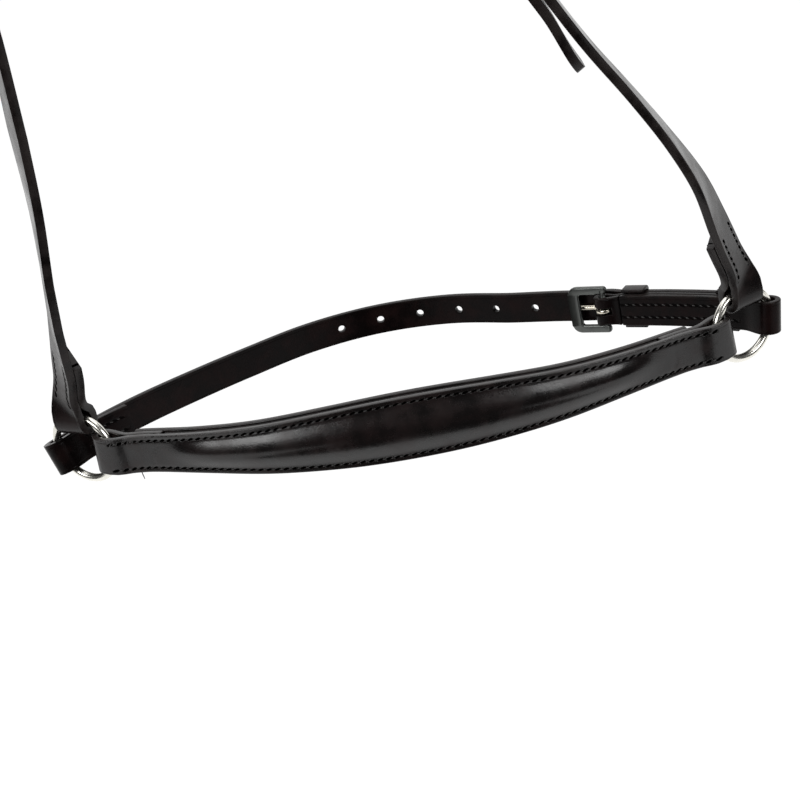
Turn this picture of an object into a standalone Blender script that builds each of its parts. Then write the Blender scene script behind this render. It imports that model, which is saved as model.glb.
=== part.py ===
"""A drop noseband: a padded nosepiece and a buckled chin strap between two rings,
hung from a headpiece that passes over the poll and buckles on the near side.

Metres, +Z up. The origin is where the headpiece rests on the poll. +X is the near
side (the horse's left), and -Y is the front, where the nosepiece lies.
"""
import math

import bmesh
import bpy
from mathutils import Matrix, Vector

# Driving sizes of the whole noseband
RING_SPAN = 0.270
CROWN_RISE = 0.385
CROWN_SHIFT = 0.050
CROWN_LEAN = 0.085
NOSE_BOW = 0.032
CHIN_BOW = 0.094
CLEARANCE = 0.0003

# Rings
RING_BORE = 0.025
RING_WIRE = 0.0034
RING_YAW = math.radians(28)
RING_WIRE_RADIUS = RING_WIRE / 2
RING_CENTRE_RADIUS = RING_BORE / 2 + RING_WIRE_RADIUS

# Folds round the rings: where each sits, as an angle up from the level line towards the back
NOSE_SEAT = math.radians(187)
CHEEK_SEAT = math.radians(90)
CHIN_OFF_SEAT = math.radians(-17)
CHIN_NEAR_SEAT = math.radians(-4)
RING_EYE = RING_WIRE_RADIUS + 1.5 * CLEARANCE
RING_FOLD_CLOSE = 0.0095
FOLD_NECK_SHARES = (1.0, 0.72, 0.45)
FOLD_NECK_FLARE = 0.96

# Nosepiece: a face leather folded round the rings, a filler and a backing
NOSE_LEATHER = 0.0024
NOSE_END_WIDTH = 0.0162
NOSE_MIDDLE_WIDTH = 0.0259
NOSE_SWELL_HALF = 0.115
NOSE_SWELL_POWER = 2.3
NOSE_RAISE = 0.0032
NOSE_END_RAISE_SHARE = 0.4
NOSE_DOME_POWER = 0.7
NOSE_TURN = 0.024
NOSE_DROP = 0.0023
NOSE_MARGIN = 0.0034
BACKING_END_GAP = 0.011

# Chin strap
CHIN_WIDTH = 0.0137
CHIN_LEATHER = 0.0028
CHIN_CHAPE_LEATHER = 0.0022
CHIN_TURN = 0.032
CHIN_DROP = 0.0010
CHIN_SAG = 0.0026
CHIN_BAR_TURN = 0.0080
CHIN_BAR_TO_RING = 0.072
CHIN_TIP_PAST_BAR = 0.061
CHIN_TIP_POINT = 0.010
CHIN_HOLES = 6
HOLE_PITCH = 0.019
HOLE_DIAMETER = 0.0040

# Headpiece and near cheek strap
CHEEK_WIDTH = 0.0137
CHEEK_LEATHER = 0.0032
CHEEK_CHAPE_LEATHER = 0.0032
CHEEK_TURN = 0.030
CHEEK_CHAPE_TURN = 0.042
CHEEK_BAR_TO_RING = 0.232
CHEEK_TIP_PAST_BAR = 0.110
CHEEK_TIP_POINT = 0.009
CHEEK_TIP_HANG = 0.0025
CHEEK_SETTLE = 0.012
CHEEK_TIP_FREE = 0.026
CHEEK_HOLES = 5
POLL_SEAT = 0.030

# Buckles: a flat front bar, two arms and a round back bar that the chape folds over
BUCKLE_CLEAR = 0.0003
BUCKLE_ARM = 0.0036
BUCKLE_FRONT = 0.0050
BUCKLE_WINDOW = 0.0107
BUCKLE_THICKNESS = 0.0024
BUCKLE_CORNER = 0.0034
BUCKLE_BAR_RADIUS = 0.0014
BUCKLE_ARM_PAST_BAR = 0.0022
TONGUE_WIRE_RADIUS = 0.0011
TONGUE_SWING = math.radians(12)
TONGUE_EYE_START = math.radians(-160)
TONGUE_SHAPE_SHARES = ((0.90, 1.0), (1.24, 1.12), (1.56, 2.15))
TONGUE_HOLE_SHARE = 1.50
TONGUE_FOOT_SHARES = (1.19, 0.9)
BAR_EYE = BUCKLE_BAR_RADIUS + CLEARANCE
CHAPE_NECK = 0.0013
CHAPE_CLOSE = 0.0070

# Keepers
KEEPER_WALL = 0.0016
KEEPER_EDGE = 0.0006
KEEPER_ANGLE = math.radians(60)
FRONT_KEEPER_LENGTH = 0.0100
REAR_KEEPER_LENGTH = 0.0090
FRONT_KEEPER_PAST_BAR = 0.0086
CHIN_REAR_KEEPER_PAST_BAR = 0.0500
CHEEK_RUNNER_PAST_BAR = 0.0580

# How a billet rises over the buckle: where it starts, in buckle lengths before the bar, and
# its height over the front bar as a share of its height over the tongue
BILLET_RISE_START = 3.3
BILLET_FRONT_SHARE = 0.93
BILLET_TIP_SHARE = 0.34

# Fineness of the mesh
EDGE_ROUND = 0.0005
OVERRUN = 0.0020
BEND_STEP = 0.006
FINE_STEP = 0.0025
FINE_LENGTH = 0.055
MERGE_DISTANCE = 0.00001
STRAP_RIBS = 4
NOSE_RIBS = 6
EYE_STEPS = 9
TONGUE_EYE_STEPS = 12
SLOT_STEPS = 4
HOLE_SIDES = 16
RING_STEPS = 40
RING_SIDES = 10

# Derived places, relative to the origin at the poll
MIDDLE = Vector((CROWN_SHIFT, CROWN_LEAN, -CROWN_RISE))
HALF_SPAN = RING_SPAN / 2
OFF, NEAR = -1, 1

# Plan of the nosepiece from its middle to a ring: shares of the half span and of the bow
NOSE_PLAN_SHARES = ((0.0, 1.0), (0.24, 0.97), (0.43, 0.865), (0.62, 0.62), (0.79, 0.345))

# Line of the chin strap from the off ring to the near one: shares of the half span, of the
# bow and of the sag
CHIN_LINE_SHARES = (
    (-0.900, 0.300, 0.50), (-0.700, 0.560, 0.85), (-0.530, 0.735, 0.96), (-0.330, 0.905, 1.00),
    (-0.100, 0.985, 1.00), (0.150, 0.940, 1.00), (0.370, 0.775, 0.90), (0.535, 0.610, 0.60),
    (0.700, 0.468, 0.26), (0.867, 0.319, 0.08), (0.970, 0.212, 0.00),
)

# Cheek lines from ring to crown: share of the half span out from the middle, of the lean,
# of the rise, and the turn of the strap's width away from the ring's plane
OFF_CHEEK_SHARES = (
    (1.000, 0.00, 0.042, 0.00), (0.996, 0.01, 0.054, 0.22), (0.986, 0.03, 0.066, 0.36),
    (0.972, 0.05, 0.080, 0.41), (0.942, 0.12, 0.115, 0.51), (0.912, 0.19, 0.155, 0.65),
    (0.877, 0.27, 0.205, 0.70), (0.837, 0.34, 0.270, 0.64), (0.803, 0.42, 0.345, 0.56),
    (0.768, 0.50, 0.430, 0.62), (0.735, 0.62, 0.540, 0.76), (0.702, 0.75, 0.680, 0.88),
    (0.670, 0.88, 0.835, 0.97),
)
NEAR_CHEEK_SHARES = (
    (1.000, 0.00, 0.042, 0.00), (0.993, 0.01, 0.054, 0.22), (0.981, 0.03, 0.066, 0.36),
    (0.965, 0.05, 0.080, 0.42), (0.921, 0.12, 0.120, 0.47), (0.866, 0.20, 0.170, 0.63),
    (0.784, 0.26, 0.222, 0.78), (0.696, 0.31, 0.270, 0.85), (0.603, 0.36, 0.318, 0.88),
    (0.520, 0.42, 0.366, 0.89), (0.400, 0.50, 0.445, 0.91), (0.280, 0.60, 0.545, 0.93),
    (0.165, 0.72, 0.660, 0.95), (0.045, 0.87, 0.815, 0.98),
)
UP = Vector((0.0, 0.0, 1.0))
BACK = Vector((0.0, 1.0, 0.0))
OVER = Vector((1.0, 0.0, 0.0))

COLOURS = {
    "leather": ((0.012, 0.008, 0.008), 0.32, 0.0),
    "backing": ((0.020, 0.016, 0.015), 0.65, 0.0),
    "nickel": ((0.62, 0.58, 0.50), 0.18, 1.0),
    "dark_steel": ((0.10, 0.11, 0.11), 0.35, 1.0),
    "brass": ((0.60, 0.45, 0.25), 0.25, 1.0),
}


class Route:
    """A smooth line through chosen points, with the direction of a strap's width along it."""

    def __init__(self, points, widths, tangents=None):
        slopes = self.slopes(points, tangents or {})
        for i in (0, -1):
            slopes[i] = (slopes[i] - widths[i] * slopes[i].dot(widths[i])).normalized()
        self.places, self.acrosses = [points[0]], [widths[0]]
        for i in range(len(points) - 1):
            span = (points[i + 1] - points[i]).length
            count = max(1, math.ceil(span / (BEND_STEP / 3)))
            for k in range(1, count + 1):
                share = k / count
                self.places.append(self.hermite(points, slopes, i, span, share))
                self.acrosses.append(widths[i].lerp(widths[i + 1], share))
        self.lengths = [0.0]
        for before, after in zip(self.places, self.places[1:]):
            self.lengths.append(self.lengths[-1] + (after - before).length)
        self.length = self.lengths[-1]
        ends = {0: slopes[0], len(self.places) - 1: slopes[-1]}
        self.directions = self.slopes(self.places, ends)

    @staticmethod
    def slopes(points, fixed):
        """Unit direction at each point, from the parabola through its neighbours."""
        chords = [(b - a).normalized() for a, b in zip(points, points[1:])]
        spans = [(b - a).length for a, b in zip(points, points[1:])]
        result = []
        for i in range(len(points)):
            if i in fixed:
                slope = fixed[i]
            elif i == 0:
                slope = chords[0]
            elif i == len(points) - 1:
                slope = chords[-1]
            else:
                slope = chords[i - 1] * spans[i] + chords[i] * spans[i - 1]
            result.append(slope.normalized())
        return result

    @staticmethod
    def hermite(points, slopes, i, span, share):
        """A cubic from one point to the next that leaves and arrives along their slopes."""
        two, three = share ** 2, share ** 3
        place = points[i] * (2 * three - 3 * two + 1) + points[i + 1] * (3 * two - 2 * three)
        return place + slopes[i] * (span * (three - 2 * two + share)) \
            + slopes[i + 1] * (span * (three - two))

    def frame(self, along):
        """Place, direction, width direction and outward direction at a length along the line."""
        inside = min(max(along, 0.0), self.length)
        low, high = 0, len(self.lengths) - 1
        while high - low > 1:
            middle = (low + high) // 2
            if self.lengths[middle] <= inside:
                low = middle
            else:
                high = middle
        share = (inside - self.lengths[low]) / (self.lengths[high] - self.lengths[low])
        tangent = self.directions[low].lerp(self.directions[high], share).normalized()
        place = self.places[low].lerp(self.places[high], share) + tangent * (along - inside)
        across = self.acrosses[low].lerp(self.acrosses[high], share)
        across = (across - tangent * across.dot(tangent)).normalized()
        return place, tangent, across, tangent.cross(across)

    def matrix(self, along):
        """Axes for a buckle or keeper: X along the strap, Y across it, Z outward."""
        place, tangent, across, outward = self.frame(along)
        return Matrix.Translation(place) @ Matrix((tangent, across, outward)).transposed().to_4x4()


def clear_scene():
    """Remove whatever the file holds."""
    for thing in list(bpy.data.objects):
        bpy.data.objects.remove(thing, do_unlink=True)


def collection(name):
    """A collection under the scene's own."""
    made = bpy.data.collections.new(name)
    bpy.context.scene.collection.children.link(made)
    return made


def material(name):
    """A Principled material of one of the noseband's finishes."""
    made = bpy.data.materials.get(name)
    if made is None:
        colour, roughness, metallic = COLOURS[name]
        made = bpy.data.materials.new(name)
        made.use_nodes = True
        shader = made.node_tree.nodes["Principled BSDF"]
        shader.inputs["Base Color"].default_value = (*colour, 1.0)
        shader.inputs["Roughness"].default_value = roughness
        shader.inputs["Metallic"].default_value = metallic
    return made


def finish_mesh(mesh, name, finish, target):
    """Turn a bmesh into a named object with its own material."""
    data = bpy.data.meshes.new(name)
    mesh.to_mesh(data)
    mesh.free()
    data.shade_smooth()
    made = bpy.data.objects.new(name, data)
    own = material(finish).copy()
    own.name = f"{name}_{finish}"
    data.materials.append(own)
    target.objects.link(made)
    return made


def mesh_from_curve(curve_object):
    """The curve's evaluated mesh with its caps welded, as a bmesh; the curve is removed."""
    bpy.context.view_layer.update()
    graph = bpy.context.evaluated_depsgraph_get()
    data = bpy.data.meshes.new_from_object(curve_object.evaluated_get(graph))
    mesh = bmesh.new()
    mesh.from_mesh(data)
    mesh.transform(curve_object.matrix_world)
    bmesh.ops.remove_doubles(mesh, verts=mesh.verts, dist=MERGE_DISTANCE)
    bmesh.ops.recalc_face_normals(mesh, faces=mesh.faces)
    bpy.data.objects.remove(curve_object, do_unlink=True)
    bpy.data.meshes.remove(data)
    return mesh


def curve_object(name, points, dimensions, target):
    """A curve of straight segments through the points."""
    data = bpy.data.curves.new(name, "CURVE")
    data.dimensions = dimensions
    spline = data.splines.new("POLY")
    spline.points.add(len(points) - 1)
    for knot, point in zip(spline.points, points):
        knot.co = (*point, 1.0)
    made = bpy.data.objects.new(name, data)
    target.objects.link(made)
    return made


def tube(points, radius, sides_resolution=2):
    """A round wire along the points, as a bmesh."""
    wire = curve_object("wire", points, "3D", bpy.context.scene.collection)
    wire.data.bevel_depth = radius
    wire.data.bevel_resolution = sides_resolution
    wire.data.use_fill_caps = True
    return mesh_from_curve(wire)


def plate(outline, thickness):
    """A flat plate with the outline, as a bmesh centred on its thickness."""
    flat = curve_object("plate", [(x, y, 0.0) for x, y in outline], "2D",
                        bpy.context.scene.collection)
    flat.data.splines[0].use_cyclic_u = True
    flat.data.fill_mode = "BOTH"
    flat.data.extrude = thickness / 2
    return mesh_from_curve(flat)


def bevel(made, width=EDGE_ROUND, angle=math.radians(50)):
    """Take the sharpness off the edges of a piece."""
    change = made.modifiers.new("soft_edges", "BEVEL")
    change.width = width
    change.segments = 1
    change.limit_method = "ANGLE"
    change.angle_limit = angle


def cut(made, cutter, name):
    """Subtract a cutter from a piece."""
    change = made.modifiers.new(name, "BOOLEAN")
    change.operation = "DIFFERENCE"
    change.solver = "EXACT"
    change.object = cutter


def hide_cutter(cutter):
    """Mark an object as a cutter only."""
    cutter.hide_render = True
    cutter.display_type = "WIRE"
    return cutter


def cylinder(radius, length, matrix, sides=HOLE_SIDES):
    """A closed cylinder along the matrix's Z axis, as a bmesh."""
    mesh = bmesh.new()
    bmesh.ops.create_cone(mesh, cap_ends=True, segments=sides, radius1=radius, radius2=radius,
                          depth=length, matrix=matrix)
    return mesh


def box(low, high, matrix):
    """A box between two corners, placed by a matrix, as a bmesh."""
    mesh = bmesh.new()
    bmesh.ops.create_cube(mesh, size=1.0)
    size = [b - a for a, b in zip(low, high)]
    centre = Vector([(a + b) / 2 for a, b in zip(low, high)])
    bmesh.ops.scale(mesh, vec=size, verts=mesh.verts)
    bmesh.ops.translate(mesh, vec=centre, verts=mesh.verts)
    mesh.transform(matrix)
    return mesh


def arc(centre, radius, start, stop, steps):
    """Points on a circle between two angles, ends included."""
    points = []
    for k in range(steps + 1):
        angle = start + (stop - start) * k / steps
        points.append((centre[0] + radius * math.cos(angle), centre[1] + radius * math.sin(angle)))
    return points


def ease(share):
    """A smooth step from 0 to 1."""
    share = min(max(share, 0.0), 1.0)
    return share * share * (3 - 2 * share)


def ring_centre(side):
    """Centre of the off or near ring."""
    return MIDDLE + Vector((side * HALF_SPAN, 0.0, 0.0))


def ring_along(side):
    """Level direction in a ring's plane, from its front to its back."""
    return Vector((side * math.cos(RING_YAW), math.sin(RING_YAW), 0.0))


def eye_end(width):
    """How near the ring's centre the inside of a straight fold of this width has to reach, to
    clear the wire, which curves inward at the fold's edges."""
    return math.sqrt((RING_BORE / 2) ** 2 - (width / 2) ** 2) - CLEARANCE


def round_eye(width):
    """A round fold that clears the wire: distance of its axis from the ring's centre, and its
    inner radius."""
    outer, inner = RING_CENTRE_RADIUS + RING_WIRE_RADIUS + CLEARANCE, eye_end(width)
    return (outer + inner) / 2, (outer - inner) / 2


def oval_length(width):
    """Straight length of an oval fold that clears the wire."""
    return RING_CENTRE_RADIUS - RING_EYE - eye_end(width)


def seat(side, angle, reach=RING_CENTRE_RADIUS):
    """Where a strap folds round a ring: a place at a reach from the ring's centre, the
    direction out of the ring there, and the direction of the strap's width."""
    level = ring_along(side)
    out = level * math.cos(angle) + UP * math.sin(angle)
    width = level * math.sin(angle) - UP * math.cos(angle)
    return ring_centre(side) + out * reach, out, width


def nose_route():
    """Level line of the nosepiece from the off ring, round the front, to the near ring."""
    off, leaving, off_width = seat(OFF, NOSE_SEAT)
    near, arriving, near_width = seat(NEAR, NOSE_SEAT)
    shares = [(-x, y) for x, y in reversed(NOSE_PLAN_SHARES[1:])] + list(NOSE_PLAN_SHARES)
    middle = [MIDDLE + Vector((x * HALF_SPAN, -y * NOSE_BOW, -NOSE_DROP)) for x, y in shares]
    widths = [off_width, *[UP] * len(middle), near_width]
    return Route([off, *middle, near], widths, {0: leaving, len(middle) + 1: -arriving})


def chin_route():
    """Level line of the chin strap from the off ring, round the back, to the near ring."""
    reach = round_eye(CHIN_WIDTH)[0]
    off, _, off_width = seat(OFF, CHIN_OFF_SEAT, reach)
    near, _, near_width = seat(NEAR, CHIN_NEAR_SEAT, reach)
    middle = [MIDDLE + Vector((x * HALF_SPAN, y * CHIN_BOW, -CHIN_DROP - sag * CHIN_SAG))
              for x, y, sag in CHIN_LINE_SHARES]
    return Route([off, *middle, near], [off_width, *[-UP] * len(middle), near_width])


def cheek_points(side, shares):
    """Points and width directions of one cheek line, ring first."""
    ring_end, _, width = seat(side, CHEEK_SEAT)
    points, widths = [ring_end], [width]
    for out, lean, height, turn in shares:
        points.append(MIDDLE + Vector((side * out * HALF_SPAN, -lean * CROWN_LEAN,
                                       height * CROWN_RISE)))
        yaw = RING_YAW + turn * (math.pi / 2 - RING_YAW)
        widths.append(Vector((side * math.cos(yaw), math.sin(yaw), 0.0)))
    return points, widths


def head_route():
    """Line of the headpiece from the off ring, over the poll, to the near ring."""
    off_points, off_widths = cheek_points(OFF, OFF_CHEEK_SHARES)
    near_points, near_widths = cheek_points(NEAR, NEAR_CHEEK_SHARES)
    level = -CLEARANCE / 2
    poll = [Vector((-POLL_SEAT / 2, 0.0, level)), Vector((POLL_SEAT / 2, 0.0, level))]
    points = [*off_points, *poll, *reversed(near_points)]
    widths = [*off_widths, BACK, BACK, *reversed(near_widths)]
    first = len(off_points)
    return Route(points, widths, {0: UP, first: OVER, first + 1: OVER, len(points) - 1: -UP})


def ply_offset(leather):
    """Offset of each of two plies from the line between them."""
    return (leather + CLEARANCE) / 2


def eye_profile(along, toward, eye, leather, close, turn):
    """Profile of a fold round a wire at `along`: from the outer ply, round the eye, to the
    turned-in end. `toward` is the direction along the route in which the strap leaves, and
    `eye` holds the fold's inner radius and the length of its straight sides."""
    radius, straight = eye
    ply, wide = ply_offset(leather), radius + leather / 2
    neck = []
    for share in FOLD_NECK_SHARES:
        offset = ply + (wide - ply) * ease(1 - share) * FOLD_NECK_FLARE
        neck.append((along + toward * close * share, offset))
    sweep = math.pi / 2 if straight else math.pi / 2 + math.atan2(wide - ply, close)
    sides = [(along, wide)] if straight else []
    arcs = []
    for x, y in arc((-straight, 0.0), wide, sweep, -sweep, EYE_STEPS):
        arcs.append((along + toward * (2 * -straight - x), y))
    back = [(place, -offset) for place, offset in (*reversed(sides), *reversed(neck))]
    end = along + toward * turn
    inner = stretch(along + toward * close, end, lambda _: -ply)
    return [*neck, *sides, *arcs, *back, *inner, (end, -ply)]


def stretch(start, stop, offset_at, step=BEND_STEP):
    """Profile points between two places of the route, without the places themselves."""
    count = max(1, math.ceil(abs(stop - start) / step))
    places = [start + (stop - start) * k / count for k in range(1, count)]
    return [(place, offset_at(place)) for place in places]


def strap(name, route, profile, width_at, leather, finish, target, ribs=STRAP_RIBS,
          raise_at=None):
    """A flat strip bent along the route. Each profile entry is a place along the route and an
    offset outward from it; `raise_at` lifts the middle of the strip."""
    mesh = bmesh.new()
    steps = len(profile) - 1
    bmesh.ops.create_grid(mesh, x_segments=steps, y_segments=ribs, size=1.0)
    for vert in mesh.verts:
        index = round((vert.co.x + 1) / 2 * steps)
        share = vert.co.y
        along, offset = profile[index]
        if raise_at:
            offset += raise_at(index, along, share)
        place, _, across, outward = route.frame(along)
        vert.co = place + outward * offset + across * (share * width_at(along) / 2)
    made = finish_mesh(mesh, name, finish, target)
    wall = made.modifiers.new("leather", "SOLIDIFY")
    wall.thickness = leather
    wall.offset = 0.0
    wall.use_even_offset = True
    return made


def punch(made, route, places, offset_at, diameter, depth, cutters):
    """Punch round holes through a strap."""
    joined = bmesh.new()
    for along in places:
        matrix = route.matrix(along) @ Matrix.Translation((0.0, 0.0, offset_at(along)))
        hole = cylinder(diameter / 2, depth, matrix)
        piece = bpy.data.meshes.new("hole")
        hole.to_mesh(piece)
        hole.free()
        joined.from_mesh(piece)
        bpy.data.meshes.remove(piece)
    cutter = hide_cutter(finish_mesh(joined, f"{made.name}_holes", "leather", cutters))
    cut(made, cutter, "holes")


def rings(target):
    """The two wire rings that every strap folds round."""
    for side, name in ((OFF, "off_ring"), (NEAR, "near_ring")):
        bpy.ops.mesh.primitive_torus_add(
            major_radius=RING_CENTRE_RADIUS, minor_radius=RING_WIRE_RADIUS,
            major_segments=RING_STEPS, minor_segments=RING_SIDES)
        made = bpy.context.object
        made.name = name
        made.data.name = name
        for home in list(made.users_collection):
            home.objects.unlink(made)
        target.objects.link(made)
        along = ring_along(side)
        made.matrix_world = Matrix.Translation(ring_centre(side)) \
            @ Matrix((along, UP, along.cross(UP))).transposed().to_4x4()
        made.data.shade_smooth()
        made.data.materials.append(material("nickel").copy())


def nose_width(route):
    """Width of the nosepiece: even at the rings and swelling to its middle."""
    def width_at(along):
        away = abs(along - route.length / 2)
        if away >= NOSE_SWELL_HALF:
            return NOSE_END_WIDTH
        swell = math.cos(math.pi / 2 * away / NOSE_SWELL_HALF) ** NOSE_SWELL_POWER
        return NOSE_END_WIDTH + (NOSE_MIDDLE_WIDTH - NOSE_END_WIDTH) * swell
    return width_at


def nose_raise(route, width_at):
    """Height of the padded middle above the flat, stitched margins."""
    def raise_at(along, share):
        away = abs(along - route.length / 2)
        fade = ease((route.length / 2 - NOSE_TURN - away) / NOSE_TURN)
        swell = (width_at(along) - NOSE_END_WIDTH) / (NOSE_MIDDLE_WIDTH - NOSE_END_WIDTH)
        flat = 1 - NOSE_MARGIN / (width_at(along) / 2)
        dome = ease(1 - abs(share) / flat) ** NOSE_DOME_POWER if abs(share) < flat else 0.0
        end = NOSE_END_RAISE_SHARE
        return NOSE_RAISE * fade * (end + (1 - end) * swell) * dome
    return raise_at


def nosepiece(target):
    """Face leather folded round both rings, raised filler and backing leather."""
    route = nose_route()
    width_at = nose_width(route)
    raise_at = nose_raise(route, width_at)
    ply = ply_offset(NOSE_LEATHER)
    close = RING_FOLD_CLOSE
    eye = (RING_EYE, oval_length(NOSE_END_WIDTH))
    near_eye = eye_profile(route.length, -1, eye, NOSE_LEATHER, close, NOSE_TURN)
    off_eye = eye_profile(0.0, 1, eye, NOSE_LEATHER, close, NOSE_TURN)
    front = stretch(close, route.length - close, lambda _: ply)
    profile = [*reversed(off_eye), *front, *near_eye]

    def face_raise(index, along, share):
        on_front = len(off_eye) <= index < len(off_eye) + len(front)
        return raise_at(along, share) if on_front else 0.0

    face = strap("nosepiece_face", route, profile, width_at, NOSE_LEATHER, "leather", target,
                 ribs=NOSE_RIBS, raise_at=face_raise)
    bevel(face)

    filler_start = NOSE_TURN + CLEARANCE * 3
    filler(route, filler_start, width_at, raise_at, target)

    backing_start = BACKING_END_GAP
    backing_profile = [(backing_start, -3 * ply)] \
        + stretch(backing_start, route.length - backing_start, lambda _: -3 * ply) \
        + [(route.length - backing_start, -3 * ply)]
    backing = strap("nosepiece_backing", route, backing_profile, width_at, NOSE_LEATHER,
                    "backing", target)
    bevel(backing)


def filler(route, start, width_at, raise_at, target):
    """The shaped pad between face and backing, two bent sheets joined round their edges."""
    mesh = bmesh.new()
    steps = math.ceil((route.length - 2 * start) / BEND_STEP)
    low = -NOSE_LEATHER - CLEARANCE / 2
    top = -CLEARANCE / 2
    for raised in (False, True):
        before = set(mesh.verts)
        bmesh.ops.create_grid(mesh, x_segments=steps, y_segments=NOSE_RIBS, size=1.0)
        for vert in set(mesh.verts) - before:
            along = start + (route.length - 2 * start) * (vert.co.x + 1) / 2
            share = vert.co.y
            place, _, across, outward = route.frame(along)
            offset = top + raise_at(along, share) if raised else low
            vert.co = place + outward * offset + across * (share * width_at(along) / 2)
    rims = [edge for edge in mesh.edges if edge.is_boundary]
    bmesh.ops.bridge_loops(mesh, edges=rims)
    bmesh.ops.recalc_face_normals(mesh, faces=mesh.faces)
    finish_mesh(mesh, "nosepiece_filler", "backing", target)


def billet_width(width, tip, point):
    """Full width, drawn in to a rounded point at the tip."""
    def width_at(along):
        left = max(tip - along, 0.0)
        if left >= point:
            return width
        rounded = math.sqrt(1 - (1 - left / point) ** 2)
        return width * (BILLET_TIP_SHARE + (1 - BILLET_TIP_SHARE) * rounded)
    return width_at


def chape_width(width, bar):
    """Full width, waisted where the strap folds round the buckle's bar."""
    def width_at(along):
        neck = 1 - ease((along - bar - CHAPE_CLOSE / 2) / CHAPE_CLOSE)
        return width - CHAPE_NECK * neck
    return width_at


def billet_levels(leather, chape, side):
    """Offsets of a billet as it runs up over a buckle and on along the chape: distances
    past the buckle's bar and the offset there, on the side where the billet lies."""
    over_plies = leather / 2 + chape + CLEARANCE * 1.5 + CLEARANCE / 2
    over_fold = BAR_EYE + chape + CLEARANCE + leather / 2
    over_tongue = BUCKLE_THICKNESS / 2 + 2 * TONGUE_WIRE_RADIUS + 2 * CLEARANCE + leather / 2
    front = BUCKLE_WINDOW + BUCKLE_FRONT
    settle = FRONT_KEEPER_PAST_BAR
    over_front = over_tongue * BILLET_FRONT_SHARE
    return ((-BILLET_RISE_START * front, ply_offset(leather)),
            (-front - OVERRUN, side * over_front), (-BUCKLE_WINDOW, side * over_tongue),
            (-settle / 3, side * over_fold), (settle / 5, side * over_fold),
            (settle - CLEARANCE, side * over_plies))


def billet_offset(levels, bar):
    """Offset of the billet at a place along the route."""
    def offset_at(along):
        past = along - bar
        if past <= levels[0][0]:
            return levels[0][1]
        for (a, low), (b, high) in zip(levels, levels[1:]):
            if past <= b:
                return low + (high - low) * ease((past - a) / (b - a))
        return levels[-1][1]
    return offset_at


def buckle_frame(name, matrix, strap_width, finish, target, cutters):
    """A flat front bar and two arms, with a round bar between the arms' ends."""
    inner = strap_width / 2 + BUCKLE_CLEAR
    outer = inner + BUCKLE_ARM
    front, window = -BUCKLE_WINDOW - BUCKLE_FRONT, -BUCKLE_WINDOW
    back, corner = BUCKLE_ARM_PAST_BAR, BUCKLE_CORNER
    small = corner / 4
    outline = [(back, outer - small)]
    outline += arc((front + corner, outer - corner), corner, math.pi / 2, math.pi, 4)
    outline += arc((front + corner, corner - outer), corner, math.pi, 1.5 * math.pi, 4)
    outline += [(back, small - outer), (back, -inner)]
    outline += arc((window + small, small - inner), small, 1.5 * math.pi, math.pi, 2)
    outline += arc((window + small, inner - small), small, math.pi, math.pi / 2, 2)
    outline += [(back, inner)]
    made = finish_mesh(plate(outline, BUCKLE_THICKNESS), name, finish, target)
    made.matrix_world = matrix
    lie = Matrix.Rotation(math.pi / 2, 4, "X")
    length = 2 * inner + BUCKLE_ARM
    bar = finish_mesh(cylinder(BUCKLE_BAR_RADIUS, length, lie, RING_SIDES), f"{name}_bar",
                      finish, cutters)
    bar.matrix_world = matrix
    change = made.modifiers.new("back_bar", "BOOLEAN")
    change.operation = "UNION"
    change.solver = "EXACT"
    change.object = hide_cutter(bar)
    bevel(made, EDGE_ROUND, KEEPER_ANGLE)
    return made


def tongue_line(side):
    """The tongue's wire from the end of its eye, round the bar and out to the tip."""
    turn = BUCKLE_BAR_RADIUS + CLEARANCE + TONGUE_WIRE_RADIUS
    eye = arc((0.0, 0.0), turn, TONGUE_EYE_START, math.pi / 2, TONGUE_EYE_STEPS)
    rest = BUCKLE_THICKNESS / 2 + CLEARANCE + TONGUE_WIRE_RADIUS
    shank = [(-BUCKLE_WINDOW * out, rest * high) for out, high in TONGUE_SHAPE_SHARES]
    return [Vector((x, 0.0, side * z)) for x, z in (*eye, *shank)]


def buckle_tongue(name, matrix, side, target):
    """The wire tongue, turned round the back bar."""
    mesh = tube(tongue_line(side), TONGUE_WIRE_RADIUS)
    made = finish_mesh(mesh, name, "brass", target)
    made.matrix_world = matrix
    return made


def tongue_hole(made, matrix, side, cutters):
    """The slanted hole in which the tip stands, open along the way the tip swings out."""
    rest = BUCKLE_THICKNESS / 2 + CLEARANCE + TONGUE_WIRE_RADIUS
    out, high = TONGUE_FOOT_SHARES
    foot = Vector((-BUCKLE_WINDOW * out, 0.0, side * rest * high))
    tip = tongue_line(side)[-1]
    axis = (tip - foot).normalized()
    length = (tip - foot).length + 3 * OVERRUN
    lean = axis.to_track_quat("Z", "Y").to_matrix().to_4x4()
    for k in range(SLOT_STEPS):
        swing = Matrix.Rotation(-side * TONGUE_SWING * k / (SLOT_STEPS - 1), 4, "Y")
        place = matrix @ swing @ Matrix.Translation(foot + axis * (length / 2)) @ lean
        slot = cylinder(TONGUE_WIRE_RADIUS + 1.3 * CLEARANCE, length, place)
        cutter = hide_cutter(finish_mesh(slot, f"{made.name}_slot_{k}", "leather", cutters))
        cut(made, cutter, f"tongue_slot_{k}")


def chape_slot(made, matrix, cutters):
    """The slot in the fold through which the tongue's eye passes."""
    reach = BAR_EYE + 2 * TONGUE_WIRE_RADIUS + 2 * CLEARANCE
    half = TONGUE_WIRE_RADIUS + CLEARANCE * 1.5
    slot = box((-2 * reach, -half, -2 * reach), (reach + CLEARANCE, half, 2 * reach), matrix)
    cutter = hide_cutter(finish_mesh(slot, f"{made.name}_tongue_slot", "leather", cutters))
    cut(made, cutter, "tongue_slot")


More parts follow.
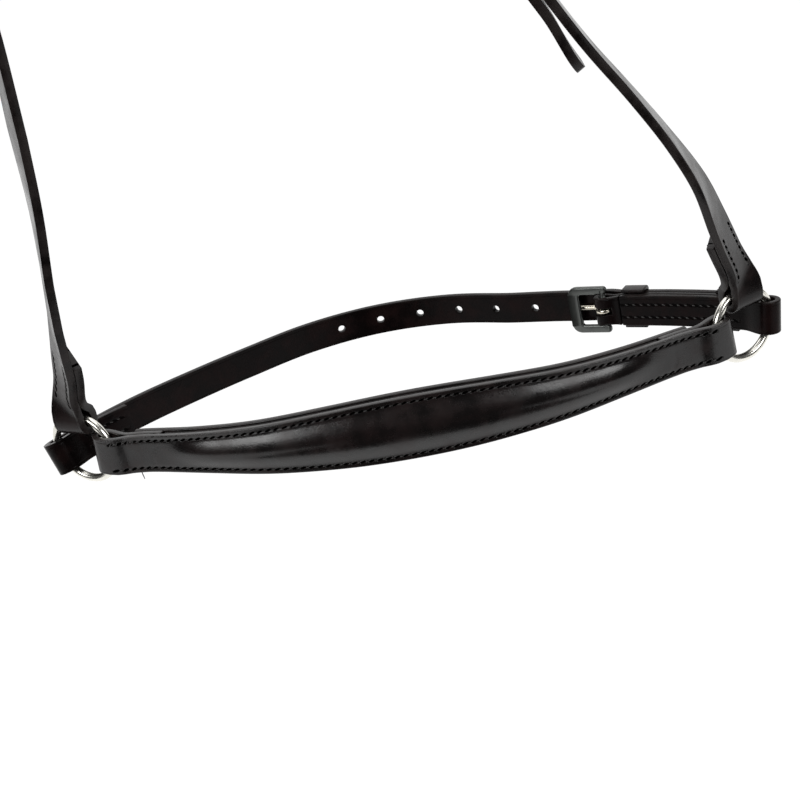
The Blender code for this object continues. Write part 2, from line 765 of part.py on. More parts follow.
def chape(name, route, bar, width, leather, turns, ring_eye, target):
    """A strap folded inward round a ring at one end and round a buckle's bar at the other."""
    ring_turn, bar_turn = turns
    ply = ply_offset(leather)
    at_ring = eye_profile(route.length, -1, ring_eye, leather, RING_FOLD_CLOSE, ring_turn)
    at_bar = eye_profile(bar, 1, (BAR_EYE, 0.0), leather, CHAPE_CLOSE, bar_turn)
    middle = stretch(bar + CHAPE_CLOSE, route.length - RING_FOLD_CLOSE, lambda _: ply)
    profile = [*reversed(at_bar), *middle, *at_ring]
    return strap(name, route, profile, chape_width(width, bar), leather, "leather", target)


def keeper_top(outer, top):
    """The rounded outer edge of a keeper, over the top from one side to the other."""
    corner = KEEPER_WALL
    edge = arc((outer - corner, top - corner), corner, 0.0, math.pi / 2, 3)
    return edge + arc((corner - outer, top - corner), corner, math.pi / 2, math.pi, 3)


def stand_keeper(name, outline, length, matrix, side, target):
    """A keeper cut to an outline across the strap and stood on the side the billet lies on."""
    stand = Matrix(((0, 0, 1, 0), (1, 0, 0, 0), (0, side, 0, 0), (0, 0, 0, 1)))
    mesh = plate(outline, length)
    if side < 0:
        bmesh.ops.reverse_faces(mesh, faces=mesh.faces)
    mesh.transform(stand)
    made = finish_mesh(mesh, name, "leather", target)
    made.matrix_world = matrix
    return made


def keeper_staple(name, matrix, length, width, high, side, target):
    """A leather loop over a billet, with both ends sewn in at the edges of the chape."""
    inner = width / 2 + CLEARANCE
    outer, top = inner + KEEPER_WALL, high + CLEARANCE
    outline = [(outer, 0.0), *keeper_top(outer, top + KEEPER_WALL), (-outer, 0.0),
               (-inner, 0.0), (-inner, top), (inner, top), (inner, 0.0)]
    bevel(stand_keeper(name, outline, length, matrix, side, target), KEEPER_EDGE, KEEPER_ANGLE)


def keeper_loop(name, matrix, length, width, low, high, side, target, cutters):
    """A closed leather loop that slides along the strap and its billet."""
    inner = width / 2 + CLEARANCE
    outer, top, base = inner + KEEPER_WALL, high + CLEARANCE, low - CLEARANCE
    under = [(x, -y) for x, y in keeper_top(outer, KEEPER_WALL - base)]
    outline = [*keeper_top(outer, top + KEEPER_WALL), *reversed(under)]
    made = stand_keeper(name, outline, length, matrix, side, target)
    half = length / 2 + OVERRUN
    bottom, ceiling = sorted((side * base, side * top))
    hollow = finish_mesh(box((-half, -inner, bottom), (half, inner, ceiling), Matrix()),
                         f"{name}_hollow", "leather", cutters)
    hollow.matrix_world = matrix
    cut(made, hide_cutter(hollow), "hollow")
    bevel(made, KEEPER_EDGE, KEEPER_ANGLE)


def billet(name, route, bar, tip, width, leather, turn, ring_eye, offset_at, target):
    """A strap folded inward round the off ring, running on past a buckle's bar to its tip."""
    at_ring = eye_profile(0.0, 1, ring_eye, leather, RING_FOLD_CLOSE, turn)
    fine = bar - FINE_LENGTH
    profile = [*reversed(at_ring), *stretch(RING_FOLD_CLOSE, fine, offset_at),
               (fine, offset_at(fine)), *stretch(fine, tip, offset_at, FINE_STEP),
               (tip, offset_at(tip))]
    return strap(name, route, profile, width, leather, "leather", target)


def chin_strap(target, cutters):
    """Billet from the off ring, and the doubled half with its buckle from the near ring."""
    route = chin_route()
    bar = route.length - CHIN_BAR_TO_RING
    tip = bar + CHIN_TIP_PAST_BAR
    levels = billet_levels(CHIN_LEATHER, CHIN_CHAPE_LEATHER, 1)
    offset_at = billet_offset(levels, bar)
    width = billet_width(CHIN_WIDTH, tip, CHIN_TIP_POINT)
    eye = (round_eye(CHIN_WIDTH)[1], 0.0)
    off_half = billet("chin_billet_strap", route, bar, tip, width, CHIN_LEATHER, CHIN_TURN,
                      eye, offset_at, target)
    matrix = route.matrix(bar)
    tongue_at = bar - BUCKLE_WINDOW * TONGUE_HOLE_SHARE
    holes = [tongue_at - HOLE_PITCH * k for k in range(1, CHIN_HOLES + 1)]
    punch(off_half, route, holes, offset_at, HOLE_DIAMETER, 4 * CHIN_LEATHER, cutters)
    tongue_hole(off_half, matrix, 1, cutters)

    ring_turn = CHIN_BAR_TO_RING - CHIN_BAR_TURN - CLEARANCE
    near_half = chape("chin_buckle_strap", route, bar, CHIN_WIDTH, CHIN_CHAPE_LEATHER,
                      (ring_turn, CHIN_BAR_TURN), eye, target)
    chape_slot(near_half, matrix, cutters)
    buckle_frame("chin_buckle_frame", matrix, CHIN_WIDTH, "dark_steel", target, cutters)
    buckle_tongue("chin_buckle_tongue", matrix, 1, target)
    high = levels[-1][1] + CHIN_LEATHER / 2
    for name, past, length in (
            ("chin_front_keeper", FRONT_KEEPER_PAST_BAR, FRONT_KEEPER_LENGTH),
            ("chin_rear_keeper", CHIN_REAR_KEEPER_PAST_BAR, REAR_KEEPER_LENGTH)):
        place = route.matrix(bar + past + length / 2)
        keeper_staple(name, place, length, CHIN_WIDTH, high, 1, target)


def headpiece(target, cutters):
    """The long strap from the off ring over the poll, and the near cheek strap it buckles to."""
    route = head_route()
    bar = route.length - CHEEK_BAR_TO_RING
    tip = bar + CHEEK_TIP_PAST_BAR
    levels = billet_levels(CHEEK_LEATHER, CHEEK_CHAPE_LEATHER, -1)
    doubled = -levels[-1][1] + CHEEK_LEATHER / 2
    single = ply_offset(CHEEK_LEATHER) + CLEARANCE
    levels = (*levels, (CHEEK_CHAPE_TURN + OVERRUN, levels[-1][1]),
              (CHEEK_CHAPE_TURN + CHEEK_SETTLE, -single))
    seated = billet_offset(levels, bar)

    def offset_at(along):
        hang = ease((along - tip + CHEEK_TIP_FREE) / CHEEK_TIP_FREE)
        return seated(along) - CHEEK_TIP_HANG * hang

    width = billet_width(CHEEK_WIDTH, tip, CHEEK_TIP_POINT)
    eye = (RING_EYE, oval_length(CHEEK_WIDTH))
    head = billet("headpiece_strap", route, bar, tip, width, CHEEK_LEATHER, CHEEK_TURN, eye,
                  offset_at, target)
    matrix = route.matrix(bar)
    tongue_at = bar - BUCKLE_WINDOW * TONGUE_HOLE_SHARE
    holes = [tongue_at - HOLE_PITCH * k for k in range(1, CHEEK_HOLES + 1)]
    punch(head, route, holes, offset_at, HOLE_DIAMETER, 4 * CHEEK_LEATHER, cutters)
    tongue_hole(head, matrix, -1, cutters)

    cheek = chape("near_cheek_strap", route, bar, CHEEK_WIDTH, CHEEK_CHAPE_LEATHER,
                  (CHEEK_TURN, CHEEK_CHAPE_TURN), eye, target)
    chape_slot(cheek, matrix, cutters)
    buckle_frame("cheek_buckle_frame", matrix, CHEEK_WIDTH, "dark_steel", target, cutters)
    buckle_tongue("cheek_buckle_tongue", matrix, -1, target)
    keeper_at = route.matrix(bar + FRONT_KEEPER_PAST_BAR + FRONT_KEEPER_LENGTH / 2)
    keeper_staple("cheek_fixed_keeper", keeper_at, FRONT_KEEPER_LENGTH, CHEEK_WIDTH, doubled,
                  -1, target)
    high = single + CHEEK_LEATHER / 2
    low = -ply_offset(CHEEK_CHAPE_LEATHER) - CHEEK_CHAPE_LEATHER / 2
    runner_at = route.matrix(bar + CHEEK_RUNNER_PAST_BAR + REAR_KEEPER_LENGTH / 2)
    keeper_loop("cheek_runner", runner_at, REAR_KEEPER_LENGTH, CHEEK_WIDTH, low, high, -1,
                target, cutters)


def main():
    """Build every piece of the noseband."""
    clear_scene()
    parts = collection("drop_noseband")
    cutters = collection("cutters")
    rings(parts)
    nosepiece(parts)
    chin_strap(parts, cutters)
    headpiece(parts, cutters)


main()
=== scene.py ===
"""A drop noseband as it is seen: padded nosepiece, chin strap, headpiece, rings, buckles,
keepers and stitching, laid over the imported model."""
import math
from bisect import bisect_right
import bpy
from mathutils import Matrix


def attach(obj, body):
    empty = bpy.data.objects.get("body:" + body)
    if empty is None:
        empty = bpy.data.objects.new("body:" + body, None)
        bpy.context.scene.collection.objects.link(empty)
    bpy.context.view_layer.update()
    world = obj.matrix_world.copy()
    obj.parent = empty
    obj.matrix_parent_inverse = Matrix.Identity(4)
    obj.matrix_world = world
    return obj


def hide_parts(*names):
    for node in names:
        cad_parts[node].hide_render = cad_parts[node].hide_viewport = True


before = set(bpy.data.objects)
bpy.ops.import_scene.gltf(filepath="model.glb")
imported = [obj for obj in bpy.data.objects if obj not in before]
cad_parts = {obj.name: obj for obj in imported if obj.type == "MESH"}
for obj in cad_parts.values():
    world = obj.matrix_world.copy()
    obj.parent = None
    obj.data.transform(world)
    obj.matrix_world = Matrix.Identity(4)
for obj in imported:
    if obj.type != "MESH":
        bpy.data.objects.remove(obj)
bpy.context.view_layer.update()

from types import SimpleNamespace

import bmesh
import bpy
from bpy.props import FloatProperty, FloatVectorProperty, PointerProperty
from mathutils import Matrix, Vector

bl_info = {
    "name": "Drop Noseband",
    "version": (1, 0, 0),
    "blender": (4, 5, 0),
    "location": "3D View > Sidebar > Noseband",
    "description": "Models the leather, metal and stitching of a drop noseband",
    "category": "Object",
}

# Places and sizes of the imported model, in metres. What differs from it, for the eye: the
# nosepiece's margin, dome power and end raise, and one more point in the tongues' line.
RING_SPAN = 0.270
CROWN_RISE = 0.385
CROWN_SHIFT = 0.050
CROWN_LEAN = 0.085
NOSE_BOW = 0.032
CHIN_BOW = 0.094
CLEARANCE = 0.0003
RING_BORE = 0.025
RING_WIRE_RADIUS = 0.0017
RING_YAW = math.radians(28)
RING_CENTRE_RADIUS = RING_BORE / 2 + RING_WIRE_RADIUS
NOSE_SEAT = math.radians(187)
CHEEK_SEAT = math.radians(90)
CHIN_OFF_SEAT = math.radians(-17)
CHIN_NEAR_SEAT = math.radians(-4)
RING_EYE = RING_WIRE_RADIUS + 1.5 * CLEARANCE
RING_FOLD_CLOSE = 0.0095
FOLD_NECK_SHARES = (1.0, 0.86, 0.72, 0.58, 0.45, 0.3)
FOLD_NECK_FLARE = 0.96
NOSE_LEATHER = 0.0024
NOSE_END_WIDTH = 0.0162
NOSE_MIDDLE_WIDTH = 0.0259
NOSE_SWELL_HALF = 0.115
NOSE_SWELL_POWER = 2.3
NOSE_RAISE = 0.0032
NOSE_END_RAISE_SHARE = 0.6
NOSE_DOME_POWER = 0.6
NOSE_TURN = 0.024
NOSE_DROP = 0.0023
NOSE_MARGIN = 0.0032
BACKING_END_GAP = 0.011
STRAP_WIDTH = 0.0137
CHIN_LEATHER = 0.0028
CHIN_CHAPE_LEATHER = 0.0022
CHIN_TURN = 0.032
CHIN_DROP = 0.0010
CHIN_SAG = 0.0026
CHIN_BAR_TURN = 0.0080
CHIN_BAR_TO_RING = 0.072
CHIN_TIP_PAST_BAR = 0.061
CHIN_TIP_POINT = 0.010
CHIN_HOLES = 6
HOLE_PITCH = 0.019
CHEEK_LEATHER = 0.0032
CHEEK_TURN = 0.030
CHEEK_CHAPE_TURN = 0.042
CHEEK_BAR_TO_RING = 0.232
CHEEK_TIP_PAST_BAR = 0.110
CHEEK_TIP_POINT = 0.009
CHEEK_TIP_HANG = 0.0025
CHEEK_SETTLE = 0.012
CHEEK_TIP_FREE = 0.026
CHEEK_HOLES = 5
POLL_SEAT = 0.030
BUCKLE_CLEAR = 0.0003
BUCKLE_ARM = 0.0036
BUCKLE_FRONT = 0.0050
BUCKLE_WINDOW = 0.0107
BUCKLE_THICKNESS = 0.0024
BUCKLE_BAR_RADIUS = 0.0014
BUCKLE_ARM_PAST_BAR = 0.0022
TONGUE_WIRE_RADIUS = 0.0011
TONGUE_EYE_START = math.radians(-160)
TONGUE_SHAPE_SHARES = ((0.90, 1.0), (1.24, 1.12), (1.40, 1.62), (1.56, 2.15))
TONGUE_HOLE_SHARE = 1.50
BAR_EYE = BUCKLE_BAR_RADIUS + CLEARANCE
CHAPE_NECK = 0.0013
CHAPE_CLOSE = 0.0070
KEEPER_WALL = 0.0016
FRONT_KEEPER_LENGTH = 0.0100
REAR_KEEPER_LENGTH = 0.0090
FRONT_KEEPER_PAST_BAR = 0.0086
CHIN_REAR_KEEPER_PAST_BAR = 0.0500
CHEEK_RUNNER_PAST_BAR = 0.0580
BILLET_RISE_START = 3.3
BILLET_FRONT_SHARE = 0.93
BILLET_TIP_SHARE = 0.34
OVERRUN = 0.0020
MIDDLE = Vector((CROWN_SHIFT, CROWN_LEAN, -CROWN_RISE))
HALF_SPAN = RING_SPAN / 2
OFF, NEAR = -1, 1
UP = Vector((0.0, 0.0, 1.0))
BACK = Vector((0.0, 1.0, 0.0))
OVER = Vector((1.0, 0.0, 0.0))

# Stitching: how near the rows come to the straps' ends, and the sewer's last stitches
NOSE_ROW_END = 0.0025
BACKING_ROW_END = 0.0125
CHIN_ROW_END = 0.0115
CHIN_ROW_SHORT = 0.003
CHIN_ROW_PAST_BAR = 0.0097
CHEEK_ROW_END = 0.0098
CHEEK_ROW_PAST = 0.001
CHEEK_ROW_PAST_BAR = 0.009
CHAPE_ROW_SHORT = 0.002
STITCH_SINK = 0.00022
STITCH_PULL = 0.0006
STITCH_REACH_SHARE = 0.23
STITCH_SLANT = math.radians(17)
THREAD_PROUD_SHARE = 0.3
LOOSE_END = 0.012
LOOSE_END_OUT = 0.0010
LOOSE_END_SLANT = math.radians(97)
LOOSE_END_REACH = 0.0022
LOOSE_END_RADIUS = 0.00024
HAND_STITCHES = 6
HAND_START_SHARE = 0.2
HAND_THICKER = 1.2
HAND_PITCH_SHARE = 0.68
HAND_REACH_SHARE = 0.46
HAND_SLANT = math.radians(58)

# Small shapes: a hole drawn long by the tongue (shift, half length, half width, in radii),
# creases at the nosepiece's folds (from its end, half width), roundings and bends
USED_HOLE_SHARES = (0.2, 1.15, 0.8)
OFF_CREASE = (0.0215, 0.0026)
NEAR_CREASE = (0.0225, 0.0028)
PADDING_SHORT = 0.0008
TONGUE_EYE_STOP = math.pi / 2 - 0.12
TONGUE_TIP_SHARE = 0.8
KEEPER_BEND_SHARE = 0.8
KEEPER_ROUND = 0.0004
EDGE_ANGLE = math.radians(50)
SHARP_ANGLE = 1.0
FRAME_CORNER_ROUND = 0.0042
FRAME_ARM_END_ROUND = 0.0015
FRAME_WINDOW_ROUND = 0.0008
FRAME_RIM_ROUND = 0.00085

# Fineness of the mesh. A strip's corner is numbered by CELL_ROW times its index along, plus
# its index across. Holes and slots open the ribs next to the middle one.
ROUTE_STEP = 0.002
BEND_STEP = 0.002
EYE_STEPS = 20
TIP_STEPS = 14
PADDING_CELLS = (100, 12)
EDGE_SEGMENTS = 3
BAR_SEGMENTS = 20
STITCH_SEGMENTS = 6
SWEEP_STEPS = 12
RING_SEGMENTS = 20
RING_STEPS = 96
TONGUE_EYE_STEPS = 22
KEEPER_BEND_STEPS = 5
KEEPER_RIBS = 6
CELL_ROW = 1000
OPEN_RIBS = 2
WELD = 1e-6
PADDED_RIBS = 7
MARGIN_INSETS = (0.0027, 0.0022, 0.0018, 0.0013, 0.0005, 0.0)
HOLE_CELL_SHARE = 0.425
HALF_RIBS = (0.0, 0.00085, 0.0017, 0.0026, 0.0034, 0.0042, 0.0050, 0.0058, 0.0064, 0.00685)
CENTRE_RIB = len(HALF_RIBS) - 1

# Surfaces: noises (scale per metre, detail, roughness), the limits between which masks fade,
# shares of roughness, and the leather's heights in tenths of a millimetre
MOTTLE, CLOUD, GRAIN = (95.0, 4.0), (26.0, 2.0), (1600.0, 3.0, 0.6)
SCUFFS, PATCHES = (260.0, 5.0, 0.7), (160.0, 4.0, 0.6)
SCRATCHES, DRAWN, STRANDS = (900.0, 4.0, 0.7), (1.0, 1.0, 0.12), (3000.0, 2.0)
PORE_SCALE = 900.0
WARM_FADE, SCUFF_FADE, PORE_FADE = (0.38, 0.68), (0.58, 0.75), (0.0, 0.18)
RUBBED_FADE, RUBBED_PATCHES, RUBBED_SHARE = (0.0, 0.0009), (0.35, 0.65), 0.6
HOLE_FADE, GROOVE_FADE = (0.75, 1.15), (0.0002, 0.0010)
HOLE_WIDTH_SHARE = 0.80
ROW_END_FADE = (0.0011, 0.0013)
EDGE_LINE_INSET, EDGE_LINE_FADE = 0.0012, (0.0001, 0.0005)
CREASE_WANDER, CREASE_WAVER = 0.030, 0.006
ROUGH, ROUGH_MOTTLE, ROUGH_CLOUD, ROUGH_SCUFFS, ROUGH_RUBBED = 0.27, 0.42, 0.26, 0.12, 0.08
GRAIN_HEIGHT, PORE_HEIGHT, MOTTLE_HEIGHT, CLOUD_HEIGHT = 0.13, 0.06, 1.9, 3.6
LINE_DEPTH, CREASE_DEPTH, GROOVE_DEPTH, HOLE_DEPTH = 0.28, 0.9, 0.8, 3.0
PADDING_MATT, BACKING_MATT = 0.3, 0.12
COAT_SHARE, COAT_ROUGH = 0.10, 0.10
# Painted shade in the stitch holes: a near-black colour that reflects nothing, standing in for the
# shade inside each hole
PAINTED_HOLE_SHADE_COLOUR = (0.0008, 0.0006, 0.0006, 1.0)
TARNISH_FADE, METAL_SCRATCH_FADE, STRAND_FADE = (0.45, 0.75), (0.55, 0.75), (0.4, 0.7)
PATCH_ROUGH, SCRATCH_ROUGH = 0.12, 0.10
THREAD_SHADE, THREAD_ROUGH = 0.4, 0.34
# The chin's marks share weakens its stitch holes and their painted shade
CHIN_SHINE, CHIN_MARKS = 0.14, 0.7
HEADPIECE_SHINE, NEAR_CHEEK_SHINE, KEEPER_SHINE = 0.36, 0.45, 0.45

# Bumps: strength and distance. Metals: what tarnish leaves of the colour, roughness, and the
# share of tarnish in the patches.
LEATHER_BUMP, METAL_BUMP, THREAD_BUMP = (1.0, 0.0001), (0.25, 0.00004), (0.4, 0.00005)
RING_METAL, FRAME_METAL, TONGUE_METAL = (0.7, 0.23, 0.4), (0.65, 0.30, 0.5), (0.55, 0.2, 0.6)

# The stage. A softbox has its place from the nosepiece's middle, its width and height, and
# its power. The camera stands at the photograph's angle, with its aim a little off the middle.
SOFTBOXES = (("left_softbox", (-0.77, -0.79, 0.55), (0.78, 0.36), 5.2),
             ("right_softbox", (0.77, -0.83, 0.59), (0.78, 0.36), 5.2),
             ("top_softbox", (0.0, 0.20, 1.30), (1.70, 1.70), 14.0))
FLOOR_LEVEL = -0.80
FLOOR_FRONT, FLOOR_BACK, SWEEP_RADIUS, WALL_TOP = -0.20, 3.0, 2.0, 5.0
FLOOR_HALF_WIDTH = 6.0
WING_SIZE, WING_MIDDLE, WING_OUT, WING_FRONT = 1.0, 0.05, 0.90, -0.70
FLOOR_GREY, FLOOR_ROUGH = (0.85, 0.85, 0.85, 1.0), 0.9
FLOOR_GLOW, FLOOR_GLOW_SHARE = 1.10, 0.90
ROOM_LIGHT, ROOM_SEEN, ROOM_MIRRORED = 0.30, 1.00, 0.23
CAMERA_AZIMUTH, CAMERA_ELEVATION, CAMERA_ROLL = map(math.radians, (3.2, 24.0, -11.9))
CAMERA_AIM = Vector((-0.0048, 0.0, -0.0052))
CAMERA_DISTANCE, CAMERA_LENS, CAMERA_SENSOR = 0.486, 54.0, 36.0

# Lines of the straps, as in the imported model
NOSE_PLAN_SHARES = ((0.0, 1.0), (0.24, 0.97), (0.43, 0.865), (0.62, 0.62), (0.79, 0.345))
CHIN_LINE_SHARES = (
    (-0.900, 0.300, 0.50), (-0.700, 0.560, 0.85), (-0.530, 0.735, 0.96), (-0.330, 0.905, 1.00),
    (-0.100, 0.985, 1.00), (0.150, 0.940, 1.00), (0.370, 0.775, 0.90), (0.535, 0.610, 0.60),
    (0.700, 0.468, 0.26), (0.867, 0.319, 0.08), (0.970, 0.212, 0.00),
)
OFF_CHEEK_SHARES = (
    (1.000, 0.00, 0.042, 0.00), (0.996, 0.01, 0.054, 0.22), (0.986, 0.03, 0.066, 0.36),
    (0.972, 0.05, 0.080, 0.41), (0.942, 0.12, 0.115, 0.51), (0.912, 0.19, 0.155, 0.65),
    (0.877, 0.27, 0.205, 0.70), (0.837, 0.34, 0.270, 0.64), (0.803, 0.42, 0.345, 0.56),
    (0.768, 0.50, 0.430, 0.62), (0.735, 0.62, 0.540, 0.76), (0.702, 0.75, 0.680, 0.88),
    (0.670, 0.88, 0.835, 0.97),
)
NEAR_CHEEK_SHARES = (
    (1.000, 0.00, 0.042, 0.00), (0.993, 0.01, 0.054, 0.22), (0.981, 0.03, 0.066, 0.36),
    (0.965, 0.05, 0.080, 0.42), (0.921, 0.12, 0.120, 0.47), (0.866, 0.20, 0.170, 0.63),
    (0.784, 0.26, 0.222, 0.78), (0.696, 0.31, 0.270, 0.85), (0.603, 0.36, 0.318, 0.88),
    (0.520, 0.42, 0.366, 0.89), (0.400, 0.50, 0.445, 0.91), (0.280, 0.60, 0.545, 0.93),
    (0.165, 0.72, 0.660, 0.95), (0.045, 0.87, 0.815, 0.98),
)


def axes(place, *directions):
    """A matrix that puts X, Y and Z along three directions at a place."""
    return Matrix.Translation(place) @ Matrix(directions).transposed().to_4x4()


class Route:
    """A smooth line through chosen points, with the direction of a strap's width along it."""

    def __init__(self, points, widths, tangents=None):
        slopes = self.slopes(points, tangents or {})
        for i in (0, -1):
            slopes[i] = (slopes[i] - widths[i] * slopes[i].dot(widths[i])).normalized()
        self.places, self.acrosses = [points[0]], [widths[0]]
        for i in range(len(points) - 1):
            span = (points[i + 1] - points[i]).length
            count = max(1, math.ceil(span / ROUTE_STEP))
            for k in range(1, count + 1):
                share = k / count
                self.places.append(self.hermite(points, slopes, i, span, share))
                self.acrosses.append(widths[i].lerp(widths[i + 1], share))
        self.lengths = [0.0]
        for before, after in zip(self.places, self.places[1:]):
            self.lengths.append(self.lengths[-1] + (after - before).length)
        self.length = self.lengths[-1]
        ends = {0: slopes[0], len(self.places) - 1: slopes[-1]}
        self.directions = self.slopes(self.places, ends)

    @staticmethod
    def slopes(points, fixed):
        """Unit direction at each point, from the parabola through its neighbours."""
        chords = [(b - a).normalized() for a, b in zip(points, points[1:])]
        spans = [(b - a).length for a, b in zip(points, points[1:])]
        result = []
        for i in range(len(points)):
            if i in fixed:
                slope = fixed[i]
            elif i == 0:
                slope = chords[0]
            elif i == len(points) - 1:
                slope = chords[-1]
            else:
                slope = chords[i - 1] * spans[i] + chords[i] * spans[i - 1]
            result.append(slope.normalized())
        return result

    @staticmethod
    def hermite(points, slopes, i, span, share):
        """A cubic from one point to the next that leaves and arrives along their slopes."""
        two, three = share ** 2, share ** 3
        place = points[i] * (2 * three - 3 * two + 1) + points[i + 1] * (3 * two - 2 * three)
        return place + slopes[i] * (span * (three - 2 * two + share)) \
            + slopes[i + 1] * (span * (three - two))

    def frame(self, along):
        """Place, direction, width direction and outward direction at a length along the line."""
        inside = min(max(along, 0.0), self.length)
        high = min(bisect_right(self.lengths, inside), len(self.lengths) - 1)
        low = high - 1
        share = (inside - self.lengths[low]) / (self.lengths[high] - self.lengths[low])
        tangent = self.directions[low].lerp(self.directions[high], share).normalized()
        place = self.places[low].lerp(self.places[high], share) + tangent * (along - inside)
        across = self.acrosses[low].lerp(self.acrosses[high], share)
        across = (across - tangent * across.dot(tangent)).normalized()
        return place, tangent, across, tangent.cross(across)

    def point(self, along, offset, across):
        """A point on a strap that lies along the line."""
        place, _, side, outward = self.frame(along)
        return place + outward * offset + side * across

    def matrix(self, along):
        """Axes for a buckle, keeper or stitch: X along the strap, Y across it, Z outward."""
        return axes(*self.frame(along))


def arc(centre, radius, start, stop, steps):
    """Points on a circle between two angles, ends included."""
    angles = [start + (stop - start) * k / steps for k in range(steps + 1)]
    return [(centre[0] + radius * math.cos(a), centre[1] + radius * math.sin(a)) for a in angles]


def ease(share):
    """A smooth step from 0 to 1."""
    share = min(max(share, 0.0), 1.0)
    return share * share * (3 - 2 * share)


def ring_centre(side):
    """Centre of the off or near ring."""
    return MIDDLE + Vector((side * HALF_SPAN, 0.0, 0.0))


def ring_along(side):
    """Level direction in a ring's plane, from its front to its back."""
    return Vector((side * math.cos(RING_YAW), math.sin(RING_YAW), 0.0))


def eye_end(width):
    """How near the ring's centre the inside of a fold of this width reaches."""
    return math.sqrt((RING_BORE / 2) ** 2 - (width / 2) ** 2) - CLEARANCE


def round_eye(width):
    """A round fold that clears the wire: its axis from the ring's centre, and its radius."""
    outer, inner = RING_CENTRE_RADIUS + RING_WIRE_RADIUS + CLEARANCE, eye_end(width)
    return (outer + inner) / 2, (outer - inner) / 2


def oval_length(width):
    """Straight length of an oval fold that clears the wire."""
    return RING_CENTRE_RADIUS - RING_EYE - eye_end(width)


def seat(side, angle, reach=RING_CENTRE_RADIUS):
    """Where a strap folds round a ring: place, direction out of the ring, and width."""
    level = ring_along(side)
    out = level * math.cos(angle) + UP * math.sin(angle)
    width = level * math.sin(angle) - UP * math.cos(angle)
    return ring_centre(side) + out * reach, out, width


def nose_route():
    """Level line of the nosepiece from the off ring, round the front, to the near ring."""
    off, leaving, off_width = seat(OFF, NOSE_SEAT)
    near, arriving, near_width = seat(NEAR, NOSE_SEAT)
    shares = [(-x, y) for x, y in reversed(NOSE_PLAN_SHARES[1:])] + list(NOSE_PLAN_SHARES)
    middle = [MIDDLE + Vector((x * HALF_SPAN, -y * NOSE_BOW, -NOSE_DROP)) for x, y in shares]
    widths = [off_width, *[UP] * len(middle), near_width]
    return Route([off, *middle, near], widths, {0: leaving, len(middle) + 1: -arriving})


def chin_route():
    """Level line of the chin strap from the off ring, round the back, to the near ring."""
    reach = round_eye(STRAP_WIDTH)[0]
    off, _, off_width = seat(OFF, CHIN_OFF_SEAT, reach)
    near, _, near_width = seat(NEAR, CHIN_NEAR_SEAT, reach)
    middle = [MIDDLE + Vector((x * HALF_SPAN, y * CHIN_BOW, -CHIN_DROP - sag * CHIN_SAG))
              for x, y, sag in CHIN_LINE_SHARES]
    return Route([off, *middle, near], [off_width, *[-UP] * len(middle), near_width])


def cheek_points(side, shares):
    """Points and width directions of one cheek line, ring first."""
    ring_end, _, width = seat(side, CHEEK_SEAT)
    points, widths = [ring_end], [width]
    for out, lean, height, turn in shares:
        points.append(MIDDLE + Vector((side * out * HALF_SPAN, -lean * CROWN_LEAN,
                                       height * CROWN_RISE)))
        yaw = RING_YAW + turn * (math.pi / 2 - RING_YAW)
        widths.append(Vector((side * math.cos(yaw), math.sin(yaw), 0.0)))
    return points, widths


def head_route():
    """Line of the headpiece from the off ring, over the poll, to the near ring."""
    off_points, off_widths = cheek_points(OFF, OFF_CHEEK_SHARES)
    near_points, near_widths = cheek_points(NEAR, NEAR_CHEEK_SHARES)
    level = -CLEARANCE / 2
    poll = [Vector((-POLL_SEAT / 2, 0.0, level)), Vector((POLL_SEAT / 2, 0.0, level))]
    points = [*off_points, *poll, *reversed(near_points)]
    widths = [*off_widths, BACK, BACK, *reversed(near_widths)]
    first = len(off_points)
    return Route(points, widths, {0: UP, first: OVER, first + 1: OVER, len(points) - 1: -UP})


def ply_offset(leather):
    """Offset of each of two plies from the line between them."""
    return (leather + CLEARANCE) / 2


def eye_profile(along, toward, eye, leather, close, turn):
    """Profile of a fold round a wire: from the outer ply, round the eye, to the turned end."""
    radius, straight = eye
    ply, wide = ply_offset(leather), radius + leather / 2
    neck = [(along + toward * close * share,
             ply + (wide - ply) * ease(1 - share) * FOLD_NECK_FLARE) for share in FOLD_NECK_SHARES]
    sweep = math.pi / 2 if straight else math.pi / 2 + math.atan2(wide - ply, close)
    sides = [(along, wide)] if straight else []
    arcs = [(along + toward * (-2 * straight - x), y)
            for x, y in arc((-straight, 0.0), wide, sweep, -sweep, EYE_STEPS)]
    back = [(place, -offset) for place, offset in (*reversed(sides), *reversed(neck))]
    rest = stretch(along + toward * close, along + toward * turn, lambda _: -ply)
    return [*neck, *sides, *arcs, *back, *rest, (along + toward * turn, -ply)]


def stretch(start, stop, offset_at, step=BEND_STEP):
    """Profile points between two places of the route, without the places themselves."""
    count = max(1, math.ceil(abs(stop - start) / step))
    places = [start + (stop - start) * k / count for k in range(1, count)]
    return [(place, offset_at(place)) for place in places]


def punched(start, stop, offset_at, holes):
    """Profile points between two places, with even cells across each hole, and the holes'
    indices in the profile. A hole is a place with its radius along and across."""
    profile, middles, at = [], [], start
    for hole, long, _ in holes:
        cell = long * HOLE_CELL_SHARE
        profile += stretch(at, hole - 3 * cell, offset_at)
        profile += [(hole + k * cell, offset_at(hole + k * cell)) for k in range(-3, 4)]
        middles.append(len(profile) - 4)
        at = hole + 3 * cell
    return profile + stretch(at, stop, offset_at), middles


def nose_width(route):
    """Width of the nosepiece: even at the rings and swelling to its middle."""
    def width_at(along):
        away = abs(along - route.length / 2)
        if away >= NOSE_SWELL_HALF:
            return NOSE_END_WIDTH
        swell = math.cos(math.pi / 2 * away / NOSE_SWELL_HALF) ** NOSE_SWELL_POWER
        return NOSE_END_WIDTH + (NOSE_MIDDLE_WIDTH - NOSE_END_WIDTH) * swell
    return width_at


